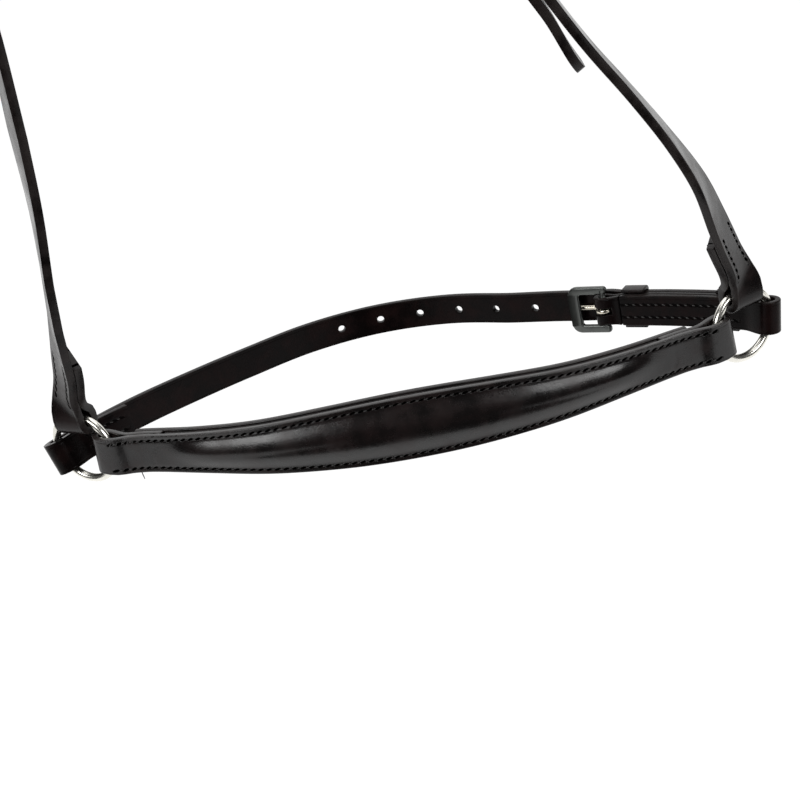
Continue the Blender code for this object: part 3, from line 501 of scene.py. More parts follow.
def nose_raise(route, width_at):
    """Height of the padded middle above the flat, stitched margins."""
    def raise_at(along, share):
        away = abs(along - route.length / 2)
        fade = ease((route.length / 2 - NOSE_TURN - away) / NOSE_TURN)
        swell = (width_at(along) - NOSE_END_WIDTH) / (NOSE_MIDDLE_WIDTH - NOSE_END_WIDTH)
        flat = 1 - NOSE_MARGIN / (width_at(along) / 2)
        dome = ease(1 - abs(share) / flat) ** NOSE_DOME_POWER if abs(share) < flat else 0.0
        end = NOSE_END_RAISE_SHARE
        return NOSE_RAISE * fade * (end + (1 - end) * swell) * dome
    return raise_at


def billet_width(tip, point):
    """Full width, drawn in to a rounded point at the tip."""
    def width_at(along):
        left = max(tip - along, 0.0)
        if left >= point:
            return STRAP_WIDTH
        rounded = math.sqrt(1 - (1 - left / point) ** 2)
        return STRAP_WIDTH * (BILLET_TIP_SHARE + (1 - BILLET_TIP_SHARE) * rounded)
    return width_at


def chape_width(bar):
    """Full width, waisted where the strap folds round the buckle's bar."""
    def width_at(along):
        neck = 1 - ease((along - bar - CHAPE_CLOSE / 2) / CHAPE_CLOSE)
        return STRAP_WIDTH - CHAPE_NECK * neck
    return width_at


def billet_levels(leather, chape, side):
    """Offsets of a billet as it runs up over a buckle and on along the chape."""
    over_plies = leather / 2 + chape + CLEARANCE * 1.5 + CLEARANCE / 2
    over_fold = BAR_EYE + chape + CLEARANCE + leather / 2
    over_tongue = BUCKLE_THICKNESS / 2 + 2 * TONGUE_WIRE_RADIUS + 2 * CLEARANCE + leather / 2
    front = BUCKLE_WINDOW + BUCKLE_FRONT
    settle = FRONT_KEEPER_PAST_BAR
    over_front = over_tongue * BILLET_FRONT_SHARE
    return ((-BILLET_RISE_START * front, ply_offset(leather)),
            (-front - OVERRUN, side * over_front), (-BUCKLE_WINDOW, side * over_tongue),
            (-settle / 3, side * over_fold), (settle / 5, side * over_fold),
            (settle - CLEARANCE, side * over_plies))


def billet_offset(levels, bar):
    """Offset of the billet at a place along the route."""
    def offset_at(along):
        past = along - bar
        if past <= levels[0][0]:
            return levels[0][1]
        for (a, low), (b, high) in zip(levels, levels[1:]):
            if past <= b:
                return low + (high - low) * ease((past - a) / (b - a))
        return levels[-1][1]
    return offset_at


def strap_ribs(width):
    """Places across a plain strap, from one edge to the other."""
    half = [rib / HALF_RIBS[-1] * width / 2 for rib in HALF_RIBS]
    return [-rib for rib in reversed(half[1:])] + half


def nose_ribs(width):
    """Places across the nosepiece: even in the padded middle, at set insets in the margins."""
    inner = width / 2 - NOSE_MARGIN
    half = [inner * k / PADDED_RIBS for k in range(PADDED_RIBS + 1)]
    half += [width / 2 - inset for inset in MARGIN_INSETS]
    return [-rib for rib in reversed(half[1:])] + half


def grid(mesh, steps, ribs):
    """The corners of a new grid, each with its indices along and across."""
    made = bmesh.ops.create_grid(mesh, x_segments=steps, y_segments=ribs, size=1.0)["verts"]
    return [(vert, round((vert.co.x + 1) / 2 * steps), round((vert.co.y + 1) / 2 * ribs))
            for vert in made]


def lay_strip(route, profile, width_at, ribs_at, raise_at=None):
    """A strip bent along the route, as a bmesh with its length and inset as a UV map."""
    mesh = bmesh.new()
    cells = mesh.verts.layers.int.new("cell")
    lay = mesh.loops.layers.uv.new("lay")
    ribs = len(ribs_at(STRAP_WIDTH)) - 1
    spots = {}
    for vert, i, j in grid(mesh, len(profile) - 1, ribs):
        along, offset = profile[i]
        width = width_at(along)
        across = ribs_at(width)[j]
        if raise_at:
            offset += raise_at(i, along, across, width)
        vert.co = route.point(along, offset, across)
        vert[cells] = i * CELL_ROW + j
        spots[vert] = (along, j, width / 2 - abs(across))
    for face in mesh.faces:
        side = 1 if sum(spots[v][1] for v in face.verts) > ribs * 2 else -1
        for loop in face.loops:
            along, _, inset = spots[loop.vert]
            loop[lay].uv = (along, side * inset)
    return mesh


def middle_block(mesh, first, last):
    """The corners near a plain strip's middle line between two profile indices, each with its
    index along, and across from that line."""
    cells = mesh.verts.layers.int["cell"]
    block = {}
    for vert in mesh.verts:
        i, j = divmod(vert[cells], CELL_ROW)
        if first <= i <= last and abs(j - CENTRE_RIB) <= OPEN_RIBS:
            block[vert] = (i, j - CENTRE_RIB)
    return block


def open_block(mesh, block):
    """Take away the faces between a block's corners."""
    inside = [f for f in mesh.faces if all(v in block for v in f.verts)]
    bmesh.ops.delete(mesh, geom=inside, context="FACES")


def punch(mesh, route, offset_at, middles, holes):
    """Open the round or oval holes in the strip, each at its index in the profile."""
    for middle, (at, long, wide) in zip(middles, holes):
        block = middle_block(mesh, middle - OPEN_RIBS, middle + OPEN_RIBS)
        for vert, (i, dj) in block.items():
            di = i - middle
            if max(abs(di), abs(dj)) == OPEN_RIBS:
                length = math.hypot(di, dj)
                along = at + long * di / length
                vert.co = route.point(along, offset_at(along), wide * dj / length)
        open_block(mesh, block)


def settle(mesh, matrix):
    """Join a mesh's doubled corners, turn its faces outward and move it to its place."""
    bmesh.ops.remove_doubles(mesh, verts=mesh.verts, dist=WELD)
    bmesh.ops.recalc_face_normals(mesh, faces=mesh.faces)
    mesh.transform(matrix)
    return mesh


def put(name, data):
    """A new object in the scene."""
    made = bpy.data.objects.new(name, data)
    bpy.context.scene.collection.objects.link(made)
    return made


def smooth_object(name, mesh, material):
    """A new object from a bmesh, shaded smooth."""
    data = bpy.data.meshes.new(name)
    mesh.to_mesh(data)
    mesh.free()
    data.shade_smooth()
    data.materials.append(material)
    return put(name, data)


def piece(name, mesh, material, body, nodes=()):
    """Turn a bmesh into a finished piece that rides on a body and stands for CAD nodes."""
    made = smooth_object(name, mesh, material)
    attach(made, body)
    if nodes:
        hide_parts(*nodes)
    return made


def leather_piece(name, node_name, mesh, material, thickness, rounding, body="noseband"):
    """A piece made of a strip, given its leather's thickness and rounded edges."""
    made = piece(name, mesh, material, body, [node_name])
    wall = made.modifiers.new("leather", "SOLIDIFY")
    wall.thickness = thickness
    wall.offset = 0.0
    wall.use_even_offset = True
    edge = made.modifiers.new("rounded_edges", "BEVEL")
    edge.width = rounding
    edge.segments = EDGE_SEGMENTS
    edge.limit_method = "ANGLE"
    edge.angle_limit = EDGE_ANGLE


def node(tree, kind, values=None, output=0, **settings):
    """A new node's output: its settings are made first, then its sockets' values or links."""
    made = tree.nodes.new("ShaderNode" + kind)
    for name, value in settings.items():
        setattr(made, name, value)
    for name, value in (values or {}).items():
        if isinstance(value, Wire):
            tree.links.new(value.socket, made.inputs[name])
        else:
            made.inputs[name].default_value = value
    return Wire(tree, made.outputs[output])


class Wire:
    """A node's output, used as a value in an expression."""

    def __init__(self, tree, socket):
        self.tree, self.socket = tree, socket

    def math(self, operation, *values):
        """A Math node's result for some values or wires."""
        return node(self.tree, "Math", dict(enumerate(values)), operation=operation)

    def __add__(self, other):
        return self.math("ADD", self, other)

    def __sub__(self, other):
        return self.math("SUBTRACT", self, other)

    def __rsub__(self, other):
        return self.math("SUBTRACT", other, self)

    def __mul__(self, other):
        return self.math("MULTIPLY", self, other)

    def __truediv__(self, other):
        return self.math("DIVIDE", self, other)

    def __abs__(self):
        return self.math("ABSOLUTE", self)

    __radd__, __rmul__ = __add__, __mul__

    def between(self, low, high):
        """0 below low, 1 above high, and smooth between."""
        return node(self.tree, "MapRange", {"Value": self, "From Min": low, "From Max": high},
                    interpolation_type="SMOOTHSTEP")


def new_material(name):
    """An empty material and its node tree."""
    made = bpy.data.materials.new(name)
    made.use_nodes = True
    made.node_tree.nodes.clear()
    return made, made.node_tree


def surface(tree, shader, kind="Material"):
    """Show a shader as the surface of a material or a world."""
    output = tree.nodes.new("ShaderNodeOutput" + kind)
    tree.links.new(shader.socket, output.inputs["Surface"])


def own_place(tree):
    """A piece's own coordinates, in metres."""
    return node(tree, "TexCoord", output=3)


def noise(tree, place, scale, detail, rough=0.55):
    """Noise on a piece's coordinates, its features about 1/scale metres across."""
    return node(tree, "TexNoise",
                {"Vector": place, "Scale": scale, "Detail": detail, "Roughness": rough})


def blend(tree, share, first, second):
    """A colour between two colours."""
    return node(tree, "Mix", {0: share, 6: first, 7: second}, output=2, data_type="RGBA")


def principled(tree, tone, rough, bump=None, **values):
    """A surface of a colour and roughness. Its bump is a height, a strength and a distance, and
    other values have their sockets' names with underscores for spaces."""
    sockets = {"Base Color": tone, "Roughness": rough}
    if bump:
        height, strength, distance = bump
        sockets["Normal"] = node(tree, "Bump", {"Strength": strength, "Distance": distance,
                                                "Height": height})
    for name, value in values.items():
        sockets[name.replace("_", " ")] = value
    return node(tree, "BsdfPrincipled", sockets)


def colour(value, factor=1.0):
    """A property's colour as four numbers, darker or lighter by a factor."""
    return (*[channel * factor for channel in value], 1.0)


def stitch_marks(along, inset, rows, sizes):
    """Masks of a leather's slanted stitch holes, which also place the holes' painted shade, and of
    the groove that they lie in.
    """
    holes, grooves = None, None
    near, far = ROW_END_FADE
    for start, stop, row_inset in rows:
        away = abs(inset) - row_inset
        slanted = along + away * inset.math("SIGN", inset) * sizes.stitch_slant
        cell = (slanted - start) / sizes.stitch_pitch
        from_hole = abs(cell.math("FRACT", cell + 0.5) - 0.5) * sizes.stitch_pitch
        wide = away / (sizes.stitch_hole * HOLE_WIDTH_SHARE)
        long = from_hole / sizes.stitch_hole
        reach = long.math("SQRT", wide * wide + long * long)
        inside = along.between(start - far, start - near) \
            * (1 - along.between(stop + near, stop + far))
        hole = (1 - reach.between(*HOLE_FADE)) * inside
        groove = (1 - abs(away).between(*GROOVE_FADE)) * inside
        holes = hole if holes is None else holes.math("MAXIMUM", holes, hole)
        grooves = groove if grooves is None else grooves.math("MAXIMUM", grooves, groove)
    return holes, grooves


def leather(name, settings, rows=(), creases=(), matt=0.0, has_lay=True, shine=1.0,
            marks=1.0):
    """Waxed bridle leather: grain, mottling, rubbed edges, creases and stitch holes, with painted
    shade in the holes. Shine and marks weaken the gloss, the stitch holes and their painted shade."""
    finish = settings.finish
    made, tree = new_material(name)
    place = own_place(tree)
    mottle, cloud = noise(tree, place, *MOTTLE), noise(tree, place, *CLOUD)
    grain, scuffs = noise(tree, place, *GRAIN), noise(tree, place, *SCUFFS)
    pores = node(tree, "TexVoronoi", {"Vector": place, "Scale": PORE_SCALE},
                 feature="DISTANCE_TO_EDGE")
    tone = blend(tree, mottle.between(*WARM_FADE), colour(finish.leather),
                 colour(finish.leather_warm))
    rough = ROUGH + matt + (mottle - 0.5) * ROUGH_MOTTLE + (cloud - 0.5) * ROUGH_CLOUD
    rough = rough + scuffs.between(*SCUFF_FADE) * ROUGH_SCUFFS
    height = grain * GRAIN_HEIGHT + pores.between(*PORE_FADE) * PORE_HEIGHT \
        + mottle * MOTTLE_HEIGHT + cloud * CLOUD_HEIGHT
    if has_lay:
        lay = node(tree, "UVMap", uv_map="lay")
        along, inset = (node(tree, "SeparateXYZ", {"Vector": lay}, output=k) for k in (0, 1))
        rubbed = (1 - abs(inset).between(*RUBBED_FADE)) * mottle.between(*RUBBED_PATCHES)
        tone = blend(tree, rubbed * RUBBED_SHARE, tone, colour(finish.leather_edge))
        rough = rough + rubbed * ROUGH_RUBBED
        line = abs(abs(inset) - EDGE_LINE_INSET).between(*EDGE_LINE_FADE)
        height = height - (1 - line) * LINE_DEPTH
        for at, width in creases:
            wander = (cloud - 0.5) * CREASE_WANDER + (mottle - 0.5) * CREASE_WAVER
            height = height - (1 - (abs(along + wander - at) / width).between(0.0, 1.0)) \
                * CREASE_DEPTH
    if rows:
        holes, grooves = stitch_marks(along, inset, rows, settings.sizes)
        # The hole mask both sinks the bump and places the painted shade of the holes
        holes = holes * marks
        height = height - grooves * (GROOVE_DEPTH * marks) - holes * HOLE_DEPTH
    shader = principled(tree, tone, rough, (height, *LEATHER_BUMP),
                        Specular_IOR_Level=finish.gloss * shine, Coat_Weight=COAT_SHARE * shine,
                        Coat_Roughness=COAT_ROUGH)
    if rows:
        # Painted shade: a near-black, unreflecting surface mixed in by the hole mask stands in for
        # the shade inside the stitch holes
        dark = principled(tree, PAINTED_HOLE_SHADE_COLOUR, 1.0, Specular_IOR_Level=0.0)
        shader = node(tree, "MixShader", {0: holes, 1: shader, 2: dark})
    surface(tree, shader)
    return made


def metal(name, tint, shade, roughness, tarnish):
    """Cast or drawn metal with fine scratches, and tarnish that darkens it in patches."""
    made, tree = new_material(name)
    place = own_place(tree)
    patches = noise(tree, place, *PATCHES)
    scratches = noise(tree, node(tree, "Mapping", {"Vector": place, "Scale": DRAWN}), *SCRATCHES)
    tone = blend(tree, patches.between(*TARNISH_FADE) * tarnish, colour(tint),
                 colour(tint, shade))
    rough = roughness + (patches - 0.5) * PATCH_ROUGH \
        + scratches.between(*METAL_SCRATCH_FADE) * SCRATCH_ROUGH
    surface(tree, principled(tree, tone, rough, (scratches + patches, *METAL_BUMP),
                             Metallic=1.0))
    return made


def thread(name, finish):
    """Waxed thread, twisted from fine strands."""
    made, tree = new_material(name)
    place = own_place(tree)
    strands = noise(tree, place, *STRANDS)
    tone = blend(tree, strands.between(*STRAND_FADE), colour(finish.thread, THREAD_SHADE),
                 colour(finish.thread))
    surface(tree, principled(tree, tone, THREAD_ROUGH, (strands, *THREAD_BUMP)))
    return made


class NosebandSizes(bpy.types.PropertyGroup):
    """Sizes that finish the leather and its stitching."""
    edge_round: FloatProperty(
        name="Edge Rounding", description="How far the dressed edge of each strap is rounded",
        default=0.00055, min=0.0, unit="LENGTH")
    stitch_pitch: FloatProperty(
        name="Stitch Pitch", description="Distance from one stitch hole to the next",
        default=0.0033, min=0.001, unit="LENGTH")
    stitch_slant: FloatProperty(
        name="Stitch Slant", description="How far each hole leans along the row, per unit across",
        default=0.8)
    stitch_hole: FloatProperty(
        name="Stitch Hole", description="Half the length of a stitch hole along its row",
        default=0.00105, min=0.0002, unit="LENGTH")
    thread_radius: FloatProperty(
        name="Thread Radius", description="Half the thickness of the sewing thread",
        default=0.00026, min=0.0001, unit="LENGTH")
    nose_inset: FloatProperty(
        name="Nosepiece Row Inset", description="Distance of the nosepiece's rows from its edges",
        default=0.0021, min=0.001, unit="LENGTH")
    cheek_inset: FloatProperty(
        name="Cheek Row Inset", description="Distance of the cheek straps' rows from the edges",
        default=0.0024, min=0.001, unit="LENGTH")
    chin_inset: FloatProperty(
        name="Chin Row Inset", description="Distance of the chin strap's rows from its edges",
        default=0.0040, min=0.001, unit="LENGTH")
    hole_radius: FloatProperty(
        name="Hole Radius", description="Radius of the punched buckle holes",
        default=0.0017, min=0.001, unit="LENGTH")


class NosebandFinish(bpy.types.PropertyGroup):
    """Colours and gloss of the noseband."""
    leather: FloatVectorProperty(
        name="Leather", description="Colour of the leather in its darkest places",
        default=(0.0034, 0.0022, 0.0022), subtype="COLOR", min=0.0, max=1.0)
    leather_warm: FloatVectorProperty(
        name="Warm Leather", description="Colour of the leather where the dye is thinner",
        default=(0.0098, 0.0046, 0.0044), subtype="COLOR", min=0.0, max=1.0)
    leather_edge: FloatVectorProperty(
        name="Worn Edge", description="Colour of the leather where its edges are rubbed",
        default=(0.026, 0.022, 0.021), subtype="COLOR", min=0.0, max=1.0)
    thread: FloatVectorProperty(
        name="Thread", description="Colour of the sewing thread",
        default=(0.044, 0.041, 0.040), subtype="COLOR", min=0.0, max=1.0)
    nickel: FloatVectorProperty(
        name="Nickel", description="Colour of the rings",
        default=(0.90, 0.88, 0.81), subtype="COLOR", min=0.0, max=1.0)
    dark_nickel: FloatVectorProperty(
        name="Dark Nickel", description="Colour of the buckles' frames",
        default=(0.115, 0.12, 0.115), subtype="COLOR", min=0.0, max=1.0)
    tongue: FloatVectorProperty(
        name="Tongue", description="Colour of the buckles' tongues",
        default=(0.74, 0.69, 0.58), subtype="COLOR", min=0.0, max=1.0)
    gloss: FloatProperty(
        name="Leather Gloss", description="How strongly the waxed leather reflects",
        default=0.50, min=0.0, max=1.0, subtype="FACTOR")


class NosebandSettings(bpy.types.PropertyGroup):
    """Everything about the noseband that can be changed."""
    sizes: PointerProperty(type=NosebandSizes, name="Sizes", description="Finishing sizes")
    finish: PointerProperty(type=NosebandFinish, name="Finish", description="Colours and gloss")


def turned_ring(material, side, name):
    """A drawn-wire ring, spun from a circle."""
    mesh = bmesh.new()
    made = bmesh.ops.create_circle(
        mesh, segments=RING_SEGMENTS, radius=RING_WIRE_RADIUS,
        matrix=Matrix.Translation((RING_CENTRE_RADIUS, 0.0, 0.0))
        @ Matrix.Rotation(math.pi / 2, 4, "X"))
    bmesh.ops.spin(mesh, geom=[*made["verts"], *mesh.edges], cent=(0.0, 0.0, 0.0),
                   axis=(0.0, 0.0, 1.0), angle=2 * math.pi, steps=RING_STEPS, use_merge=True)
    along = ring_along(side)
    settle(mesh, axes(ring_centre(side), along, UP, along.cross(UP)))
    piece(name + "_wire", mesh, material, name, [name])


def round_off(mesh, edges, offset, segments):
    """Round some of a mesh's edges."""
    bmesh.ops.bevel(mesh, geom=[e for e in edges if e.is_valid], offset=offset,
                    segments=segments, profile=0.5, affect="EDGES", material=-1)


def buckle_plate(matrix):
    """A buckle's frame: flat front bar, two rounded arms and a round back bar."""
    inner = STRAP_WIDTH / 2 + BUCKLE_CLEAR
    outer = inner + BUCKLE_ARM
    xs = (-BUCKLE_WINDOW - BUCKLE_FRONT, -BUCKLE_WINDOW, 0.0, BUCKLE_ARM_PAST_BAR)
    ys = (-outer, -inner, inner, outer)
    mesh = bmesh.new()
    for vert, i, j in grid(mesh, 3, 3):
        vert.co = (xs[i], ys[j], -BUCKLE_THICKNESS / 2)
    middles = [(face, face.calc_center_median()) for face in mesh.faces]
    window = [face for face, middle in middles
              if abs(middle.y) < inner / 2 and middle.x > -BUCKLE_WINDOW]
    bmesh.ops.delete(mesh, geom=window, context="FACES")
    raised = bmesh.ops.extrude_face_region(mesh, geom=list(mesh.faces))
    tops = [v for v in raised["geom"] if isinstance(v, bmesh.types.BMVert)]
    bmesh.ops.translate(mesh, verts=tops, vec=(0.0, 0.0, BUCKLE_THICKNESS))
    bmesh.ops.recalc_face_normals(mesh, faces=mesh.faces)
    sharp = [e for e in mesh.edges if e.calc_face_angle(0.0) > SHARP_ANGLE]
    corners = [e for e in sharp
               if abs(e.verts[0].co.z - e.verts[1].co.z) > BUCKLE_THICKNESS / 2]
    outside = [e for e in corners if abs(e.verts[0].co.y) > inner + BUCKLE_ARM / 2
               and e.verts[0].co.x < -BUCKLE_WINDOW]
    arm_ends = [e for e in corners if e.verts[0].co.x > BUCKLE_ARM_PAST_BAR / 2]
    inside = [e for e in corners if e not in outside and e not in arm_ends]
    round_off(mesh, outside, FRAME_CORNER_ROUND, 7)
    round_off(mesh, arm_ends, FRAME_ARM_END_ROUND, 5)
    round_off(mesh, inside, FRAME_WINDOW_ROUND, 3)
    rims = [e for e in mesh.edges if abs(e.verts[0].co.z - e.verts[1].co.z) < WELD
            and e.calc_face_angle(0.0) > SHARP_ANGLE]
    round_off(mesh, rims, FRAME_RIM_ROUND, 4)
    bmesh.ops.create_cone(
        mesh, cap_ends=True, segments=BAR_SEGMENTS, radius1=BUCKLE_BAR_RADIUS,
        radius2=BUCKLE_BAR_RADIUS, depth=2 * inner + BUCKLE_ARM,
        matrix=Matrix.Rotation(math.pi / 2, 4, "X"))
    mesh.transform(matrix)
    return mesh


def tongue_wire(matrix, side):
    """A buckle's tongue: a wire turned round the bar, its tip narrowed a little."""
    turn = BAR_EYE + TONGUE_WIRE_RADIUS
    eye = arc((0.0, 0.0), turn, TONGUE_EYE_START, TONGUE_EYE_STOP, TONGUE_EYE_STEPS)
    rest = BUCKLE_THICKNESS / 2 + CLEARANCE + TONGUE_WIRE_RADIUS
    shank = [(-BUCKLE_WINDOW * out, rest * high) for out, high in TONGUE_SHAPE_SHARES]
    line = [Vector((x, 0.0, side * z)) for x, z in (*eye, (0.0, turn), *shank)]
    curve = bpy.data.curves.new("tongue_line", "CURVE")
    curve.dimensions = "3D"
    spline = curve.splines.new("POLY")
    spline.points.add(len(line) - 1)
    for knot, point in zip(spline.points, line):
        knot.co = (*point, 1.0)
    spline.points[-1].radius = TONGUE_TIP_SHARE
    curve.bevel_depth = TONGUE_WIRE_RADIUS
    curve.bevel_resolution = 5
    curve.use_fill_caps = True
    holder = put("tongue_line", curve)
    bpy.context.view_layer.update()
    graph = bpy.context.evaluated_depsgraph_get()
    data = bpy.data.meshes.new_from_object(holder.evaluated_get(graph))
    mesh = bmesh.new()
    mesh.from_mesh(data)
    bpy.data.objects.remove(holder, do_unlink=True)
    bpy.data.meshes.remove(data)
    return settle(mesh, matrix)


def keeper_band(matrix, length, low, high, side):
    """A leather band bent over a strap: a staple when low is 0, else a closed loop."""
    half = STRAP_WIDTH / 2 + CLEARANCE + KEEPER_WALL / 2
    top = high + CLEARANCE + KEEPER_WALL / 2
    base = low - CLEARANCE - KEEPER_WALL / 2
    bend = KEEPER_WALL * KEEPER_BEND_SHARE
    centres = ((half - bend, top - bend), (bend - half, top - bend),
               (bend - half, base + bend), (half - bend, base + bend))
    line = []
    for k, centre in enumerate(centres if low < 0 else centres[:2]):
        line += arc(centre, bend, k * math.pi / 2, (k + 1) * math.pi / 2, KEEPER_BEND_STEPS)
    line = [*line, line[0]] if low < 0 else [(half, 0.0), *line, (-half, 0.0)]
    mesh = bmesh.new()
    lay = mesh.loops.layers.uv.new("lay")
    for vert, i, _ in grid(mesh, len(line) - 1, KEEPER_RIBS):
        across, up = line[i]
        vert.co = (vert.co.y * length / 2, across, side * up)
    for face in mesh.faces:
        for loop in face.loops:
            x = loop.vert.co.x
            loop[lay].uv = (loop.vert.co.y, math.copysign(length / 2 - abs(x), x))
    return settle(mesh, matrix)


def sew(mesh, route, places, offset_at, across_at, slant, reach, radius):
    """Add a slanted stitch at each of some places along a route."""
    size = Matrix.Diagonal((reach, radius, radius, 1.0)) @ Matrix.Rotation(math.pi / 2, 4, "Y")
    for along in places:
        place = Matrix.Translation((0.0, across_at(along), offset_at(along)))
        bmesh.ops.create_uvsphere(
            mesh, u_segments=STITCH_SEGMENTS, v_segments=STITCH_SEGMENTS, radius=1.0,
            matrix=route.matrix(along) @ place @ Matrix.Rotation(slant, 4, "Z") @ size)


def sew_rows(mesh, route, start, stop, face_at, half_at, inset, sizes):
    """Both rows on one face of a strap, each stitch between two of the leather's holes."""
    pitch = sizes.stitch_pitch
    places = [start + (k + 0.5) * pitch for k in range(int((stop - start) / pitch + 0.5))]
    for side in (-1, 1):
        sew(mesh, route, places, face_at, lambda along: side * (half_at(along) - inset),
            STITCH_SLANT, pitch * STITCH_REACH_SHARE, sizes.thread_radius)


class NOSEBAND_OT_rings(bpy.types.Operator):
    """Make the two wire rings"""
    bl_idname = "noseband.rings"
    bl_label = "Rings"

    def execute(self, context):
        nickel = metal("nickel", context.scene.noseband.finish.nickel, *RING_METAL)
        turned_ring(nickel, OFF, "off_ring")
        turned_ring(nickel, NEAR, "near_ring")
        return {"FINISHED"}


class NOSEBAND_OT_nosepiece(bpy.types.Operator):
    """Make the nosepiece's face leather, padding and backing"""
    bl_idname = "noseband.nosepiece"
    bl_label = "Nosepiece"

    def execute(self, context):
        settings = context.scene.noseband
        route = nose_route()
        width_at = nose_width(route)
        raise_at = nose_raise(route, width_at)
        self.face(route, width_at, raise_at, settings)
        self.padding(route, width_at, raise_at, settings)
        self.backing(route, width_at, settings)
        return {"FINISHED"}

    def face(self, route, width_at, raise_at, settings):
        """The face leather, folded round both rings."""
        sizes = settings.sizes
        ply = ply_offset(NOSE_LEATHER)
        eye = (RING_EYE, oval_length(NOSE_END_WIDTH))
        near_eye = eye_profile(route.length, -1, eye, NOSE_LEATHER, RING_FOLD_CLOSE, NOSE_TURN)
        off_eye = eye_profile(0.0, 1, eye, NOSE_LEATHER, RING_FOLD_CLOSE, NOSE_TURN)
        front = stretch(RING_FOLD_CLOSE, route.length - RING_FOLD_CLOSE, lambda _: ply)
        profile = [*reversed(off_eye), *front, *near_eye]

        def lift(index, along, across, width):
            if not len(off_eye) <= index < len(off_eye) + len(front):
                return 0.0
            inset = width / 2 - abs(across)
            pulled = math.exp(-((inset - sizes.nose_inset) / STITCH_PULL) ** 2) * STITCH_SINK
            return raise_at(along, across / (width / 2)) - pulled

        mesh = lay_strip(route, profile, width_at, nose_ribs, lift)
        rows = [(NOSE_ROW_END, route.length - NOSE_ROW_END, sizes.nose_inset)]
        creases = [OFF_CREASE, (route.length - NEAR_CREASE[0], NEAR_CREASE[1])]
        material = leather("nosepiece_leather", settings, rows, creases)
        leather_piece("nosepiece_face_leather", "nosepiece_face", mesh, material, NOSE_LEATHER,
                      sizes.edge_round)

    def padding(self, route, width_at, raise_at, settings):
        """The shaped pad between face and backing, a little short of their edges."""
        start = NOSE_TURN + CLEARANCE * 3
        low, top = -NOSE_LEATHER - CLEARANCE / 2, -CLEARANCE / 2
        mesh = bmesh.new()
        for raised in (False, True):
            for vert, _, _ in grid(mesh, *PADDING_CELLS):
                along = start + (route.length - 2 * start) * (vert.co.x + 1) / 2
                half = width_at(along) / 2 - PADDING_SHORT
                share = vert.co.y * half / (half + PADDING_SHORT)
                offset = top + raise_at(along, share) if raised else low
                vert.co = route.point(along, offset, vert.co.y * half)
        bmesh.ops.bridge_loops(mesh, edges=[e for e in mesh.edges if e.is_boundary])
        bmesh.ops.recalc_face_normals(mesh, faces=mesh.faces)
        material = leather("padding_leather", settings, matt=PADDING_MATT, has_lay=False)
        made = piece("nosepiece_padding", mesh, material, "noseband", ["nosepiece_filler"])

    def backing(self, route, width_at, settings):
        """The backing leather that lies on the nose."""
        sizes = settings.sizes
        level = -3 * ply_offset(NOSE_LEATHER)
        start, stop = BACKING_END_GAP, route.length - BACKING_END_GAP
        profile = [(start, level), *stretch(start, stop, lambda _: level), (stop, level)]
        mesh = lay_strip(route, profile, width_at, nose_ribs)
        rows = [(BACKING_ROW_END, route.length - BACKING_ROW_END, sizes.nose_inset)]
        material = leather("backing_leather", settings, rows, matt=BACKING_MATT)
        leather_piece("nosepiece_backing_leather", "nosepiece_backing", mesh, material,
                      NOSE_LEATHER, sizes.edge_round)


def chin_strap():
    """What the chin strap's leather, buckle, keepers and stitching share. Its two leathers and
    their rows of stitches are the billet's first, then the chape's."""
    route = chin_route()
    bar = route.length - CHIN_BAR_TO_RING
    leathers = (CHIN_LEATHER, CHIN_CHAPE_LEATHER)
    return SimpleNamespace(
        route=route, bar=bar, side=1, leathers=leathers,
        tip=bar + CHIN_TIP_PAST_BAR, point=CHIN_TIP_POINT, holes=CHIN_HOLES,
        offset_at=billet_offset(billet_levels(*leathers, 1), bar),
        eye=(round_eye(STRAP_WIDTH)[1], 0.0), turn=CHIN_TURN,
        chape_turns=(CHIN_BAR_TO_RING - CHIN_BAR_TURN - CLEARANCE, CHIN_BAR_TURN),
        rows=([(CHIN_ROW_END, CHIN_TURN - CHIN_ROW_SHORT)],
              [(bar + CHIN_ROW_PAST_BAR, route.length - CHIN_ROW_END)]))


def cheek_strap():
    """The same for the headpiece, as the billet, and the near cheek strap, as the chape."""
    route = head_route()
    bar = route.length - CHEEK_BAR_TO_RING
    tip = bar + CHEEK_TIP_PAST_BAR
    return SimpleNamespace(
        route=route, bar=bar, side=-1, leathers=(CHEEK_LEATHER, CHEEK_LEATHER),
        tip=tip, point=CHEEK_TIP_POINT, holes=CHEEK_HOLES, offset_at=head_offset(bar, tip),
        eye=(RING_EYE, oval_length(STRAP_WIDTH)), turn=CHEEK_TURN,
        chape_turns=(CHEEK_TURN, CHEEK_CHAPE_TURN),
        rows=([(CHEEK_ROW_END, CHEEK_TURN + CHEEK_ROW_PAST)],
              [(bar + CHEEK_ROW_PAST_BAR, bar + CHEEK_CHAPE_TURN - CHAPE_ROW_SHORT),
               (route.length - CHEEK_TURN - CHEEK_ROW_PAST, route.length - CHEEK_ROW_END)]))


def head_offset(bar, tip):
    """Offset of the headpiece, which rises over the buckle and hangs free at its tip."""
    levels = billet_levels(CHEEK_LEATHER, CHEEK_LEATHER, -1)
    single = ply_offset(CHEEK_LEATHER) + CLEARANCE
    seated = billet_offset((*levels, (CHEEK_CHAPE_TURN + OVERRUN, levels[-1][1]),
                            (CHEEK_CHAPE_TURN + CHEEK_SETTLE, -single)), bar)

    def offset_at(along):
        hang = ease((along - tip + CHEEK_TIP_FREE) / CHEEK_TIP_FREE)
        return seated(along) - CHEEK_TIP_HANG * hang
    return offset_at


def buckle_holes(strap, radius):
    """A billet's holes from its ring end: the round ones, and the one that the tongue fills,
    drawn long by it."""
    used = strap.bar - BUCKLE_WINDOW * TONGUE_HOLE_SHARE
    round_holes = [(used - HOLE_PITCH * k, radius, radius) for k in range(strap.holes, 0, -1)]
    shift, long, wide = USED_HOLE_SHARES
    return [*round_holes, (used + radius * shift, radius * long, radius * wide)]


